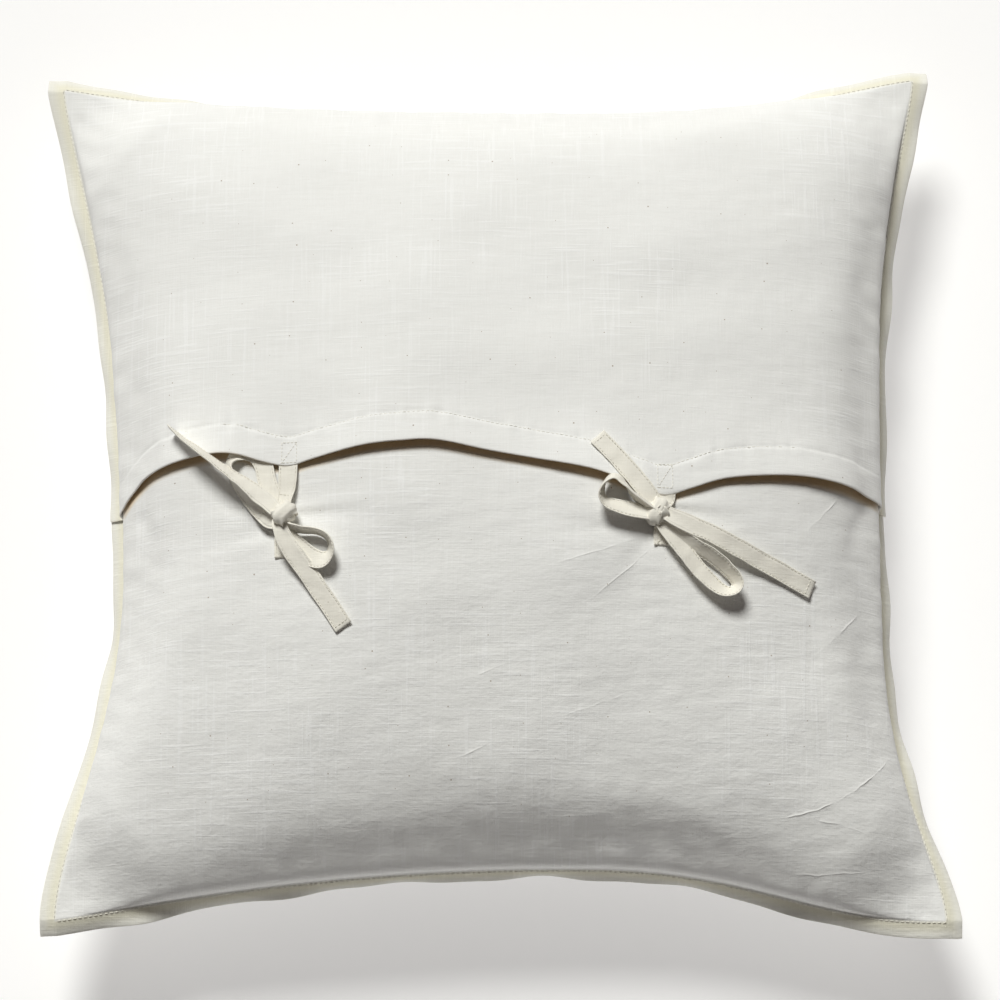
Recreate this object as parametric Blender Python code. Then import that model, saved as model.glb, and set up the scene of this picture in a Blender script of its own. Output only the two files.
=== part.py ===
"""Floor cushion with a flanged cotton cover, whose envelope back is closed by two tied bows.

The cushion lies on its face with the tied side up. X runs across it, Y runs from the lower back
panel towards the flap panel, and Z is up. The origin is under the middle, on the floor. All sizes
are in metres.
"""

import math

import bmesh
import bpy
import numpy as np
from mathutils import Matrix, Vector

# Outline of the cover along its seam, before the flange
HALF_WIDTH = 0.3105  # middle to seam in X, at the corners
HALF_DEPTH = 0.3105  # middle to seam in Y, at the corners
SIDE_PULL = 0.042  # how far the left and right sides draw in at their middle
END_PULL = 0.037  # the same for the near and far sides
FLANGE_WIDTH = 0.012

# Heights
SEAM_HEIGHT = 0.085  # floor to seam
CROWN_RISE = 0.104  # seam to the top of the crown
BASE_DROP = 0.105  # seam to where the underside would reach if the floor didn't flatten it
PUFF_POWER = 0.43  # under a half, the cushion is fuller towards its sides and corners than an ellipse

# Cloth layers
COVER_CLOTH = 0.001
CASING_CLOTH = 0.0008
LAYER_GAP = 0.0006
SEAM_GAP = 0.0004
INSERT_INSET = 0.006  # seam of the cover to the seam of the smaller pad inside it

# Envelope back
FLAP_EDGE_Y = -0.010  # hemmed edge of the flap
UNDERLAP = 0.095  # how far the lower panel reaches on under the flap
FLAP_BLEND = 0.06  # length over which the flap comes down to the single layer past the underlap
HEM_WIDTH = 0.022

# Ties
TIE_WIDTH = 0.0135
TIE_NECK = 0.006  # width of a tie where the knot gathers it
TIE_THICKNESS = 0.0012
TIE_FLARE = 0.018  # length over which a tie opens from its neck to its full width
TIE_REST = 0.0008  # gap between the cover and a tie that lies on it
TIE_SEWN = 0.024  # length of a tie's end that is sewn down
PANEL_TIE_REACH = 0.031  # knot to the far edge of the sewn end on the lower panel
TIE_CLEARANCE = 0.0017  # gap between a knot and the ties that leave it
LOOP_ROUNDNESS = 0.35  # under a half, a loop's two strands stay apart until close to its far end
LOOP_POINTS = 17
SEWN_TIE_POINTS = 12
ROUTE_STEPS = 2  # points of a loose end for each point of its route

# Knots
KNOT_RADIUS = 0.008
KNOT_HALF_HEIGHT = 0.0062
KNOT_Y = -0.041
LEFT_KNOT_X = -0.144
RIGHT_KNOT_X = 0.112
KNOT_SEGMENTS = 16
KNOT_RINGS = 10
PIVOT_RISE = 0.003  # loops and ends lift about a line this far over the knot's middle

# Stitching
THREAD_WIDTH = 0.0007
THREAD_HEIGHT = 0.0005
TOPSTITCH_INSET = 0.0025  # seam to the line of stitches on the flange
BOX_MARGIN = 0.002  # edge of a tie to the stitches that hold it down
BOX_STEPS = 4  # points on each side of that box of stitches

# Grid lines that every layer of the cushion shares
ACROSS_CELLS = 20
ALONG_CELLS = 18
LINE_SPACING = 0.035  # the least distance of two lines along Y, as a share of the half depth
SETTLING_ROUNDS = 30  # rounds of turns in which a place's u and v are found
SLOPE_STEP = 0.002  # distance over which the cover's slope is measured
WELD_DISTANCE = 1e-6
SHARP_DEGREES = 40.0  # edges that turn more than this are shaded sharp

# Each piece of a bow that moves: heading in degrees from +X, and either a loop's reach and the
# heights of its two strands over the cover at the knot and at its widest, or a loose end's route
# as (distance from the knot, sideways, height over the cover). A piece that lies on another of its
# bow moves with that one.
BOWS = {
    "left_bow": {
        "x": LEFT_KNOT_X,
        "upper_loop": {
            "heading": 142,
            "reach": 0.048,
            "at_knot": (0.0074, 0.0050),
            "widest": (0.0093, 0.0032),
        },
        "upper_end": {
            "heading": 138,
            "moves_with": "upper_loop",
            "route": (
                (0.016, 0.0, 0.0108),
                (0.028, 0.0, 0.0118),
                (0.040, 0.0005, 0.0119),
                (0.051, 0.001, 0.0112),
                (0.063, 0.001, 0.0088),
                (0.075, 0.0005, 0.0058),
                (0.087, 0.0, 0.0037),
                (0.098, 0.0, 0.0030),
            ),
        },
        "lower_loop": {
            "heading": -30,
            "reach": 0.046,
            "at_knot": (0.0074, 0.0050),
            "widest": (0.0090, 0.0032),
        },
        "lower_end": {
            "heading": -63,
            "moves_with": "lower_loop",
            "route": (
                (0.016, 0.0, 0.0108),
                (0.025, 0.0005, 0.0108),
                (0.034, 0.001, 0.0090),
                (0.044, 0.001, 0.0062),
                (0.055, 0.0005, 0.0040),
                (0.066, 0.0, 0.0030),
                (0.077, 0.0, 0.0026),
                (0.088, 0.0, 0.0026),
            ),
        },
    },
    "right_bow": {
        "x": RIGHT_KNOT_X,
        "upper_end": {
            "heading": 128,
            "route": (
                (0.016, 0.0, 0.0052),
                (0.023, -0.0005, 0.0052),
                (0.031, -0.001, 0.0068),
                (0.039, -0.001, 0.0080),
                (0.047, -0.0005, 0.0075),
                (0.055, 0.0, 0.0058),
                (0.062, 0.0, 0.0042),
                (0.069, 0.0, 0.0032),
            ),
        },
        "upper_loop": {
            "heading": 164,
            "moves_with": "upper_end",
            "reach": 0.047,
            "at_knot": (0.0106, 0.0084),
            "widest": (0.0128, 0.0078),
        },
        "lower_loop": {
            "heading": -47,
            "reach": 0.080,
            "at_knot": (0.0074, 0.0050),
            "widest": (0.0095, 0.0032),
        },
        "lower_end": {
            "heading": -23,
            "moves_with": "lower_loop",
            "route": (
                (0.018, 0.0, 0.0112),
                (0.032, 0.0005, 0.0116),
                (0.046, 0.001, 0.0108),
                (0.061, 0.001, 0.0080),
                (0.076, 0.001, 0.0052),
                (0.091, 0.0005, 0.0036),
                (0.106, 0.0, 0.0030),
                (0.121, 0.0, 0.0028),
            ),
        },
    },
}
END_EXIT_HEIGHTS = {"over": 0.0096, "under": 0.0062}  # where a loose end leaves the knot

# Colour, roughness and metallic value of each cloth
CLOTHS = {
    "natural_cotton": ((0.80, 0.79, 0.74, 1.0), 0.90, 0.0),
    "tie_cotton": ((0.83, 0.81, 0.74, 1.0), 0.90, 0.0),
    "lining_cotton": ((0.86, 0.86, 0.84, 1.0), 0.95, 0.0),
    "polyester_fibre": ((0.92, 0.92, 0.92, 1.0), 1.0, 0.0),
    "cotton_thread": ((0.82, 0.79, 0.68, 1.0), 0.80, 0.0),
}


def clear_scene():
    for old in list(bpy.data.objects):
        bpy.data.objects.remove(old, do_unlink=True)


def cloth(name):
    found = bpy.data.materials.get(name)
    if found:
        return found
    colour, roughness, metallic = CLOTHS[name]
    made = bpy.data.materials.new(name)
    made.use_nodes = True
    shader = made.node_tree.nodes["Principled BSDF"]
    shader.inputs["Base Color"].default_value = colour
    shader.inputs["Roughness"].default_value = roughness
    shader.inputs["Metallic"].default_value = metallic
    made.diffuse_color = colour
    return made


def add_object(name, points, faces, material, weld=False):
    """One named object from points and faces, with its normals turned outwards and shaded smooth."""
    mesh = bpy.data.meshes.new(name)
    mesh.from_pydata([tuple(map(float, p)) for p in points], [], [tuple(map(int, f)) for f in faces])
    shape = bmesh.new()
    shape.from_mesh(mesh)
    if weld:
        bmesh.ops.remove_doubles(shape, verts=shape.verts, dist=WELD_DISTANCE)
    bmesh.ops.recalc_face_normals(shape, faces=shape.faces)
    shape.to_mesh(mesh)
    shape.free()
    mesh.shade_smooth()
    mesh.set_sharp_from_angle(angle=math.radians(SHARP_DEGREES))
    mesh.materials.append(cloth(material))
    made = bpy.data.objects.new(name, mesh)
    bpy.context.collection.objects.link(made)
    return made


def smooth_step(share):
    share = np.clip(share, 0.0, 1.0)
    return share * share * (3.0 - 2.0 * share)


# ---- The cushion's outer shape ----


def plan(u, v, inset):
    """X and Y on a layer this far inside the cover. u and v run from seam to seam, -1 to 1."""
    x = u * (HALF_WIDTH - inset - SIDE_PULL * (1.0 - v * v))
    y = v * (HALF_DEPTH - inset - END_PULL * (1.0 - u * u))
    return x, y


def puff(u, v):
    """1 in the middle and 0 along the seam, with the steep sides of a stuffed cover."""
    return np.maximum(0.0, (1.0 - u * u) * (1.0 - v * v)) ** PUFF_POWER


def share_along(y):
    """v of a line that crosses the middle of the cushion at this Y."""
    return y / (HALF_DEPTH - END_PULL)


def flap_raise(v):
    """How far the flap lies outside the lower panel, which it covers: two layers down to one."""
    past = (v - share_along(FLAP_EDGE_Y + UNDERLAP)) / share_along(FLAP_BLEND)
    return (COVER_CLOTH + LAYER_GAP) * (1.0 - smooth_step(past))


def top_raise(v):
    """The same for what lies on the cover, which rises to the flap over a tie's width before its edge."""
    return flap_raise(v) * smooth_step((v - share_along(FLAP_EDGE_Y)) / share_along(TIE_WIDTH) + 1.0)


def top_height(x, y):
    """Height of the top of the cover, flap included. The place's u and v are found by turns."""
    u = v = raised = 0.0
    for _ in range(SETTLING_ROUNDS):
        u = max(-1.0, min(1.0, x / (HALF_WIDTH + raised - SIDE_PULL * (1.0 - v * v))))
        v = max(-1.0, min(1.0, y / (HALF_DEPTH + raised - END_PULL * (1.0 - u * u))))
        raised = float(top_raise(v))
    return SEAM_HEIGHT + SEAM_GAP / 2 + COVER_CLOTH + CROWN_RISE * float(puff(u, v)) + raised


def top_normal(x, y):
    step = SLOPE_STEP
    slope_x = (top_height(x + step, y) - top_height(x - step, y)) / (2 * step)
    slope_y = (top_height(x, y + step) - top_height(x, y - step)) / (2 * step)
    return Vector((-slope_x, -slope_y, 1.0)).normalized()


def on_top(x, y, height):
    return Vector((x, y, top_height(x, y) + height))


# ---- Layers of the cushion ----


def across_lines():
    """Lines of u, closest together towards the seam, where the cover turns down."""
    return np.sin(np.linspace(-math.pi / 2, math.pi / 2, ACROSS_CELLS + 1))


def along_lines():
    """Lines of v. The flap's edge, its hem stitches and the underlap's edge are three of them."""
    edges = [share_along(FLAP_EDGE_Y + past) for past in (0.0, HEM_WIDTH, UNDERLAP)]
    even = np.sin(np.linspace(-math.pi / 2, math.pi / 2, ALONG_CELLS + 1))
    kept = [v for v in even if min(abs(v - edge) for edge in edges) > LINE_SPACING]
    return np.array(sorted(kept + edges))


def layer_grid(v_lines, side, inset, raised, seam_z, rise, least_z):
    """Points of one surface: side +1 rises from the seam, -1 drops as far as the floor lets it."""
    u, v = np.meshgrid(across_lines(), v_lines)
    x, y = plan(u, v, inset - raised(v))
    z = np.maximum(seam_z + side * (rise * puff(u, v) + raised(v)), least_z)
    return np.stack([x, y, z], axis=-1)


def add_flange(grid, v_lines):
    """The same grid with a flat border outside its left and right sides and each end on the seam."""
    half_x = HALF_WIDTH - SIDE_PULL * (1.0 - v_lines * v_lines) + FLANGE_WIDTH
    sides = []
    for column, sign in ((0, -1.0), (-1, 1.0)):
        border = grid[:, column].copy()
        border[:, 0] = sign * half_x
        sides.append(border[:, None])
    grid = np.concatenate([sides[0], grid, sides[1]], axis=1)
    if v_lines[0] == -1.0:
        grid = np.concatenate([end_border(grid[0], -1.0), grid])
    if v_lines[-1] == 1.0:
        grid = np.concatenate([grid, end_border(grid[-1], 1.0)])
    return grid


def end_border(row, sign):
    border = row.copy()
    u = np.concatenate([[-1.0], across_lines(), [1.0]])
    border[:, 1] = sign * (HALF_DEPTH - END_PULL * (1.0 - u * u) + FLANGE_WIDTH)
    return border[None]


def grid_faces(grid, first=0):
    """Two triangles to a cell, split the same way on every layer, so that layers stay parallel.

    The split runs out from the middle of the cushion, which keeps its faceted shape convex.
    """
    rows, columns = grid.shape[:2]
    index = first + np.arange(rows * columns).reshape(rows, columns)
    a, b, c, d = index[:-1, :-1], index[:-1, 1:], index[1:, 1:], index[1:, :-1]
    middle = grid[:-1, :-1] + grid[:-1, 1:] + grid[1:, 1:] + grid[1:, :-1]
    outwards = middle[..., 0] * middle[..., 1] > 0
    one = np.where(outwards[..., None], np.stack([a, b, c], axis=-1), np.stack([a, b, d], axis=-1))
    two = np.where(outwards[..., None], np.stack([a, c, d], axis=-1), np.stack([b, c, d], axis=-1))
    return np.concatenate([one.reshape(-1, 3), two.reshape(-1, 3)])


def rim(rows, columns):
    """Point numbers once round the border of a grid."""
    index = np.arange(rows * columns).reshape(rows, columns)
    return np.concatenate([index[0, :-1], index[:-1, -1], index[-1, :0:-1], index[:0:-1, 0]])


def cloth_sheet(name, v_lines, side, inset, raised, rise, thickness, floor, material):
    """One layer of cloth: an outer surface, an inner one a thickness further in, and its cut edge.

    A layer with no inset is the cover's and has a flange. The floor is the least height it reaches.
    """
    outer_z = SEAM_HEIGHT + side * (SEAM_GAP / 2 + thickness)
    inner_z = SEAM_HEIGHT + side * SEAM_GAP / 2
    outer = layer_grid(v_lines, side, inset, raised, outer_z, rise, floor)
    inner = layer_grid(v_lines, side, inset + thickness, raised, inner_z, rise, floor + thickness)
    if inset == 0.0:
        outer, inner = add_flange(outer, v_lines), add_flange(inner, v_lines)
    rows, columns = outer.shape[:2]
    count = rows * columns
    edge = rim(rows, columns)
    after = np.roll(edge, -1)
    cut = np.stack([edge, after, after + count, edge + count], axis=-1)
    faces = [*grid_faces(outer), *grid_faces(inner, count)[:, ::-1], *cut]
    points = np.concatenate([outer.reshape(-1, 3), inner.reshape(-1, 3)])
    return add_object(name, points, faces, material)


def no_raise(v):
    return 0.0 * v


def make_cover():
    lines = along_lines()
    edge, under = share_along(FLAP_EDGE_Y), share_along(FLAP_EDGE_Y + UNDERLAP)
    cotton = "natural_cotton"
    cloth_sheet("face_panel", lines, -1, 0.0, no_raise, BASE_DROP, COVER_CLOTH, 0.0, cotton)
    lower = lines[lines <= under]
    cloth_sheet("back_lower_panel", lower, 1, 0.0, no_raise, CROWN_RISE, COVER_CLOTH, 0.0, cotton)
    flap = lines[lines >= edge]
    cloth_sheet("back_flap_panel", flap, 1, 0.0, flap_raise, CROWN_RISE, COVER_CLOTH, 0.0, cotton)


def make_insert():
    """The pad inside the cover: two halves of thin casing round a filling."""
    lines = along_lines()
    floor = COVER_CLOTH + LAYER_GAP
    less = LAYER_GAP + CASING_CLOTH
    lining = "lining_cotton"
    top, base = CROWN_RISE - less, BASE_DROP - less
    inset, thick = INSERT_INSET, CASING_CLOTH
    cloth_sheet("insert_upper_casing", lines, 1, inset, no_raise, top, thick, floor, lining)
    cloth_sheet("insert_lower_casing", lines, -1, inset, no_raise, base, thick, floor, lining)
    floor += CASING_CLOTH + LAYER_GAP
    inset += CASING_CLOTH + LAYER_GAP
    top, base = top - LAYER_GAP, base - LAYER_GAP
    crown = layer_grid(lines, 1, inset, no_raise, SEAM_HEIGHT, top, 0.0)
    under = layer_grid(lines, -1, inset, no_raise, SEAM_HEIGHT, base, floor)
    points = np.concatenate([crown.reshape(-1, 3), under.reshape(-1, 3)])
    faces = [*grid_faces(crown), *grid_faces(under, len(points) // 2)[:, ::-1]]
    add_object("fibre_filling", points, faces, "polyester_fibre", weld=True)


# ---- Ties ----


def swept_strip(name, centres, acrosses, widths, thickness, material, closed=False):
    """A flat strip along a line of centres, whose section keeps to the across direction of each."""
    points = []
    count = len(centres)
    for i, centre in enumerate(centres):
        after = centres[(i + 1) % count] if closed else centres[min(i + 1, count - 1)]
        before = centres[i - 1] if closed else centres[max(i - 1, 0)]
        along = (after - before).normalized()
        across = (acrosses[i] - along * acrosses[i].dot(along)).normalized()
        up = across.cross(along)
        for side, level in ((-1, -1), (1, -1), (1, 1), (-1, 1)):
            points.append(centre + across * side * widths[i] / 2 + up * level * thickness / 2)
    faces = []
    for i in range(count if closed else count - 1):
        a, b = 4 * i, 4 * ((i + 1) % count)
        faces += [(a + k, a + (k + 1) % 4, b + (k + 1) % 4, b + k) for k in range(4)]
    if not closed:
        last = 4 * (count - 1)
        faces += [(3, 2, 1, 0), (last, last + 1, last + 2, last + 3)]
    return add_object(name, points, faces, material)


def tie_width(distance):
    """Width of a tie at a distance from the knot's middle."""
    opened = float(smooth_step((distance - KNOT_RADIUS) / TIE_FLARE))
    return TIE_NECK + (TIE_WIDTH - TIE_NECK) * opened


def heading_of(degrees):
    return Vector((math.cos(math.radians(degrees)), math.sin(math.radians(degrees)), 0.0))


def smooth_through(knots, per_stretch):
    """Points on a Catmull-Rom curve through all the given points."""
    ends = [knots[0] * 2 - knots[1]] + list(knots) + [knots[-1] * 2 - knots[-2]]
    found = []
    for i in range(1, len(ends) - 2):
        p0, p1, p2, p3 = ends[i - 1 : i + 3]
        for step in range(per_stretch):
            t = step / per_stretch
            a = p1 * 2 + (p2 - p0) * t
            b = (p0 * 2 - p1 * 5 + p2 * 4 - p3) * t * t
            c = (p1 * 3 - p0 - p2 * 3 + p3) * t * t * t
            found.append((a + b + c) / 2)
    return found + [ends[-2]]


def make_loop(name, knot_x, spec):
    """A strip that leaves the knot, turns round at its reach and comes back under itself."""
    along = heading_of(spec["heading"])
    start = KNOT_RADIUS + TIE_CLEARANCE
    middle_x = knot_x + along.x * spec["reach"] / 2
    middle_y = KNOT_Y + along.y * spec["reach"] / 2
    across = top_normal(middle_x, middle_y).cross(along)
    centres, widths = [], []
    for turn in np.linspace(0.0, math.pi, LOOP_POINTS):
        distance = start + (spec["reach"] - start) * math.sin(turn)
        open_share = math.sin(turn)
        strand = 0 if turn < math.pi / 2 else 1
        at_knot, widest = spec["at_knot"][strand], spec["widest"][strand]
        height = at_knot * (1 - open_share) + widest * open_share
        middle = sum(spec["widest"]) / 2
        height = middle + (height - middle) * abs(math.cos(turn)) ** LOOP_ROUNDNESS
        x, y = knot_x + along.x * distance, KNOT_Y + along.y * distance
        centres.append(on_top(x, y, height))
        widths.append(tie_width(distance))
    acrosses = [across] * len(centres)
    return swept_strip(name, centres, acrosses, widths, TIE_THICKNESS, "tie_cotton")


def make_loose_end(name, knot_x, spec, exit_height):
    """A flat tie end that follows its route over the cover."""
    along = heading_of(spec["heading"])
    sideways = Vector((-along.y, along.x, 0.0))
    route = ((KNOT_RADIUS + TIE_CLEARANCE, 0.0, exit_height),) + spec["route"]
    places = smooth_through([Vector(p) for p in route], ROUTE_STEPS)
    centres, acrosses, widths = [], [], []
    for distance, side, height in places:
        place = Vector((knot_x, KNOT_Y, 0.0)) + along * distance + sideways * side
        centres.append(on_top(place.x, place.y, height))
        acrosses.append(top_normal(place.x, place.y).cross(along))
        widths.append(tie_width(distance))
    return swept_strip(name, centres, acrosses, widths, TIE_THICKNESS, "tie_cotton")


def make_sewn_tie(name, knot_x, start_y, sign):
    """The stretch of a tie from where it is sewn down to the knot. sign is +1 on the flap side."""
    end_y = KNOT_Y + sign * (KNOT_RADIUS + TIE_CLEARANCE)
    centres, acrosses, widths = [], [], []
    for y in np.linspace(start_y, end_y, SEWN_TIE_POINTS):
        centres.append(on_top(knot_x, float(y), TIE_REST + TIE_THICKNESS / 2))
        acrosses.append(top_normal(knot_x, float(y)).cross(Vector((0.0, -sign, 0.0))))
        widths.append(tie_width(abs(float(y) - KNOT_Y)))
    swept_strip(name, centres, acrosses, widths, TIE_THICKNESS, "tie_cotton")


def make_box_stitch(name, knot_x, low_y, high_y):
    """A rectangle of thread on top of a sewn tie end."""
    half = TIE_WIDTH / 2 - BOX_MARGIN
    height = TIE_REST + TIE_THICKNESS + LAYER_GAP / 2 + THREAD_HEIGHT / 2
    corners = (
        (knot_x - half, low_y + BOX_MARGIN),
        (knot_x + half, low_y + BOX_MARGIN),
        (knot_x + half, high_y - BOX_MARGIN),
        (knot_x - half, high_y - BOX_MARGIN),
    )
    centres, acrosses = [], []
    for i, (x0, y0) in enumerate(corners):
        x1, y1 = corners[(i + 1) % len(corners)]
        for step in range(BOX_STEPS):
            x = x0 + (x1 - x0) * step / BOX_STEPS
            y = y0 + (y1 - y0) * step / BOX_STEPS
            centres.append(on_top(x, y, height))
            acrosses.append(top_normal(x, y).cross(Vector((x1 - x0, y1 - y0, 0.0))))
    widths = [THREAD_WIDTH] * len(centres)
    swept_strip(name, centres, acrosses, widths, THREAD_HEIGHT, "cotton_thread", closed=True)


def knot_middle(knot_x):
    """A knot sits just clear of the cover, and leans with it."""
    up = top_normal(knot_x, KNOT_Y)
    return on_top(knot_x, KNOT_Y, 0.0) + up * (KNOT_HALF_HEIGHT + TIE_REST)


def make_knot(name, knot_x):
    shape = bmesh.new()
    bmesh.ops.create_uvsphere(shape, u_segments=KNOT_SEGMENTS, v_segments=KNOT_RINGS, radius=1.0)
    bmesh.ops.scale(shape, vec=(KNOT_RADIUS, KNOT_RADIUS, KNOT_HALF_HEIGHT), verts=shape.verts)
    mesh = bpy.data.meshes.new(name)
    shape.to_mesh(mesh)
    shape.free()
    mesh.shade_smooth()
    mesh.materials.append(cloth("tie_cotton"))
    made = bpy.data.objects.new(name, mesh)
    bpy.context.collection.objects.link(made)
    lean = top_normal(knot_x, KNOT_Y).to_track_quat("Z", "Y").to_matrix().to_4x4()
    made.matrix_world = Matrix.Translation(knot_middle(knot_x)) @ lean


def hang(piece, pivot, carrier):
    """Puts a moving piece's origin on its hinge line, and the piece under the one it moves with."""
    piece.data.transform(Matrix.Translation(-pivot))
    if carrier:
        piece.parent = carrier
    else:
        piece.location = pivot


def make_bow(side, bow):
    x = bow["x"]
    flap_start = FLAP_EDGE_Y + TIE_SEWN
    panel_start = KNOT_Y - PANEL_TIE_REACH
    make_knot(f"{side}_knot", x)
    make_sewn_tie(f"{side}_flap_tie", x, flap_start, 1)
    make_sewn_tie(f"{side}_panel_tie", x, panel_start, -1)
    make_box_stitch(f"{side}_flap_tie_stitch", x, FLAP_EDGE_Y + BOX_MARGIN, flap_start)
    make_box_stitch(f"{side}_panel_tie_stitch", x, panel_start, panel_start + TIE_SEWN / 2)
    pivot = knot_middle(x) + Vector((0.0, 0.0, PIVOT_RISE))
    made = {}
    for piece, spec in bow.items():
        if piece == "x":
            continue
        if "reach" in spec:
            made[piece] = make_loop(f"{side}_{piece}", x, spec)
        else:
            over = "moves_with" in spec
            exit_height = END_EXIT_HEIGHTS["over" if over else "under"]
            made[piece] = make_loose_end(f"{side}_{piece}", x, spec, exit_height)
        hang(made[piece], pivot, made.get(spec.get("moves_with")))


# ---- Stitch lines ----


def make_flap_hem_stitch():
    """The line of thread that holds the flap's hem, from side to side."""
    v = share_along(FLAP_EDGE_Y + HEM_WIDTH)
    raised = float(flap_raise(v))
    lift = LAYER_GAP / 2 + THREAD_HEIGHT / 2
    centres, acrosses = [], []
    for u in across_lines()[1:-1]:
        x, y = plan(u, v, -raised)
        z = SEAM_HEIGHT + SEAM_GAP / 2 + COVER_CLOTH + CROWN_RISE * float(puff(u, v)) + raised
        centres.append(Vector((float(x), float(y), z)) + top_normal(float(x), float(y)) * lift)
        acrosses.append(Vector((0.0, 1.0, 0.0)))
    widths = [THREAD_WIDTH] * len(centres)
    swept_strip("flap_hem_stitch", centres, acrosses, widths, THREAD_HEIGHT, "cotton_thread")


def make_flange_topstitch():
    """The line of thread that runs round the flange beside the cushion's body."""
    out = TOPSTITCH_INSET
    cloth_top = SEAM_HEIGHT + SEAM_GAP / 2 + COVER_CLOTH
    across, along = across_lines(), along_lines()
    rounds = [(u, -1.0) for u in across[:-1]] + [(1.0, v) for v in along[:-1]]
    rounds += [(u, 1.0) for u in across[:0:-1]] + [(-1.0, v) for v in along[:0:-1]]
    centres, acrosses = [], []
    for u, v in rounds:
        x = u * (HALF_WIDTH + out - SIDE_PULL * (1.0 - v * v))
        y = v * (HALF_DEPTH + out - END_PULL * (1.0 - u * u))
        z = cloth_top + float(top_raise(v)) + LAYER_GAP + THREAD_HEIGHT / 2
        centres.append(Vector((float(x), float(y), z)))
        acrosses.append(Vector((float(x), float(y), 0.0)).normalized())
    widths = [THREAD_WIDTH] * len(centres)
    thread = "cotton_thread"
    swept_strip("flange_topstitch", centres, acrosses, widths, THREAD_HEIGHT, thread, closed=True)


clear_scene()
make_cover()
make_insert()
for bow_side, bow_spec in BOWS.items():
    make_bow(bow_side, bow_spec)
make_flap_hem_stitch()
make_flange_topstitch()
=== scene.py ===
"""The floor cushion: a slub-cotton cover with a flanged edge, open across its back under a hemmed flap
that two tied bows hold shut, and the stuffed pad inside it.

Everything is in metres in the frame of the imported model: X across the cushion, Y from the lower back
panel towards the flap, Z up from the floor.
"""

import math

import bpy
import numpy as np
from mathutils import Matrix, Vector


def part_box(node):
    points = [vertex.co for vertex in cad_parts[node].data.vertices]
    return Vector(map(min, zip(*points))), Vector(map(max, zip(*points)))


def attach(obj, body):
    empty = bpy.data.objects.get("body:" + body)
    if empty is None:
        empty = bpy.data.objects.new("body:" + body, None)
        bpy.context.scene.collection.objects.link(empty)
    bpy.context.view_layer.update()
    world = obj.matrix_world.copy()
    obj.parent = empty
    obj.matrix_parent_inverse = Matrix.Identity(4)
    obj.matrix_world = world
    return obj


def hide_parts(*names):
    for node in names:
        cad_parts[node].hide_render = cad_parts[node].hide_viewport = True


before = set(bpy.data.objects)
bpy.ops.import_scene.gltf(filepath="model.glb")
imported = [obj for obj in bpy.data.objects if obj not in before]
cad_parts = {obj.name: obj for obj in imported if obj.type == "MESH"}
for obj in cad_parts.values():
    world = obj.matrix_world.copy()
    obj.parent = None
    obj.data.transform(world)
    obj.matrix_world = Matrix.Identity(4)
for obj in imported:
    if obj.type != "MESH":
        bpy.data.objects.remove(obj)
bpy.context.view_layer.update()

# ---- Sizes, from the frame where it has them ----

MM = 0.001
FLANGE = 0.012
COVER_CLOTH = 0.001
CASING_CLOTH = 0.0008
LAYER_GAP = 0.0006
SEAM_GAP = 0.0004
TIE_THICKNESS = 0.0016

HALF_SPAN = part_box("face_panel")[1].x  # middle to the flange's edge at the corners
SEAM_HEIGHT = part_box("face_panel")[1].z + SEAM_GAP / 2
CROWN_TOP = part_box("back_lower_panel")[1].z
CROWN_RISE = CROWN_TOP - SEAM_HEIGHT - SEAM_GAP / 2 - COVER_CLOTH
BASE_DROP = 0.105
PUFF_POWER = 0.43
CREASE_HALF = 0.0008
CORNER_SHARE = 0.32  # how far from a corner the filling thins out

BULGE = 0.006  # how far the crown bellies out over its own seam
BULGE_SHARE = 0.02
UNDERLAP = 0.095  # how far the lower panel goes on under the flap
HEM = 0.0205  # width of the flap's hem
HEM_FOLD = 0.0007  # how much thicker the cloth is in a hem

MID_SPAN = 0.28  # about half the cover's width between its seams, for turning lengths into u and v
CELL = 0.0023  # spacing of the tied side's grid
FACE_CELL = 0.0042  # and of the side's on the floor
SIM_CELLS = 72
SIM_FRAMES = 14
SIM_CAP = 0.012  # the most that the simulation may move a point

SETTLING = {
    "quality": 5, "mass": 0.3, "tension_stiffness": 15, "compression_stiffness": 15, "shear_stiffness": 4.5,
    "bending_stiffness": 0.4, "air_damping": 5, "use_pressure": True, "uniform_pressure_force": 0.8,
}

# Each side of the cover, from its start to its end: how far it is drawn in, where along it that is
# deepest, the two powers of the flare towards each of its corners, how far its flange hangs down, and
# how much of a hanging flange still reads as width
SIDES = {
    "left": {"pull": 0.0493, "deepest": 0.21, "flare": ((2.3, 1.3), (2.0, 1.7)), "droop": 42, "lean": 0.0},
    "right": {"pull": 0.0420, "deepest": 0.30, "flare": ((3.2, 1.3), (2.6, 1.7)), "droop": 54, "lean": 0.0},
    "near": {"pull": 0.0415, "deepest": 0.15, "flare": ((2.0, 1.15), (2.5, 3.0)), "droop": 76, "lean": 0.27},
    "far": {"pull": 0.0334, "deepest": 0.20, "flare": ((2.1, 1.0), (2.2, 1.3)), "droop": 78, "lean": 0.45},
}
# Corners that were pulled out of square, as shifts in X and Y: near left, near right, far left, far right
CORNER_SHIFTS = ((0.0047, 0.0012), (0.0043, 0.0002), (-0.0043, -0.0042), (-0.0048, 0.0028))

# The flap's hemmed edge in mm, which bows up between the ties and dips where each of them holds it
FLAP_EDGE = (
    (-280, -40), (-270, -27.5), (-262, -19), (-241.4, -2), (-204.8, 5.2), (-182.5, 5.4), (-160, -1.6),
    (-142.5, -5.2), (-126, -1.5), (-92.9, 5.8), (-65.7, 8.6), (-39.9, 9.2), (-4.5, 2), (27.5, -4),
    (69.8, -12.5), (102, -23.5), (119, -27.8), (136.8, -22.2), (163, -13.9), (204.5, -9.6), (241.9, -11),
    (262, -13.5), (280, -17),
)
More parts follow.
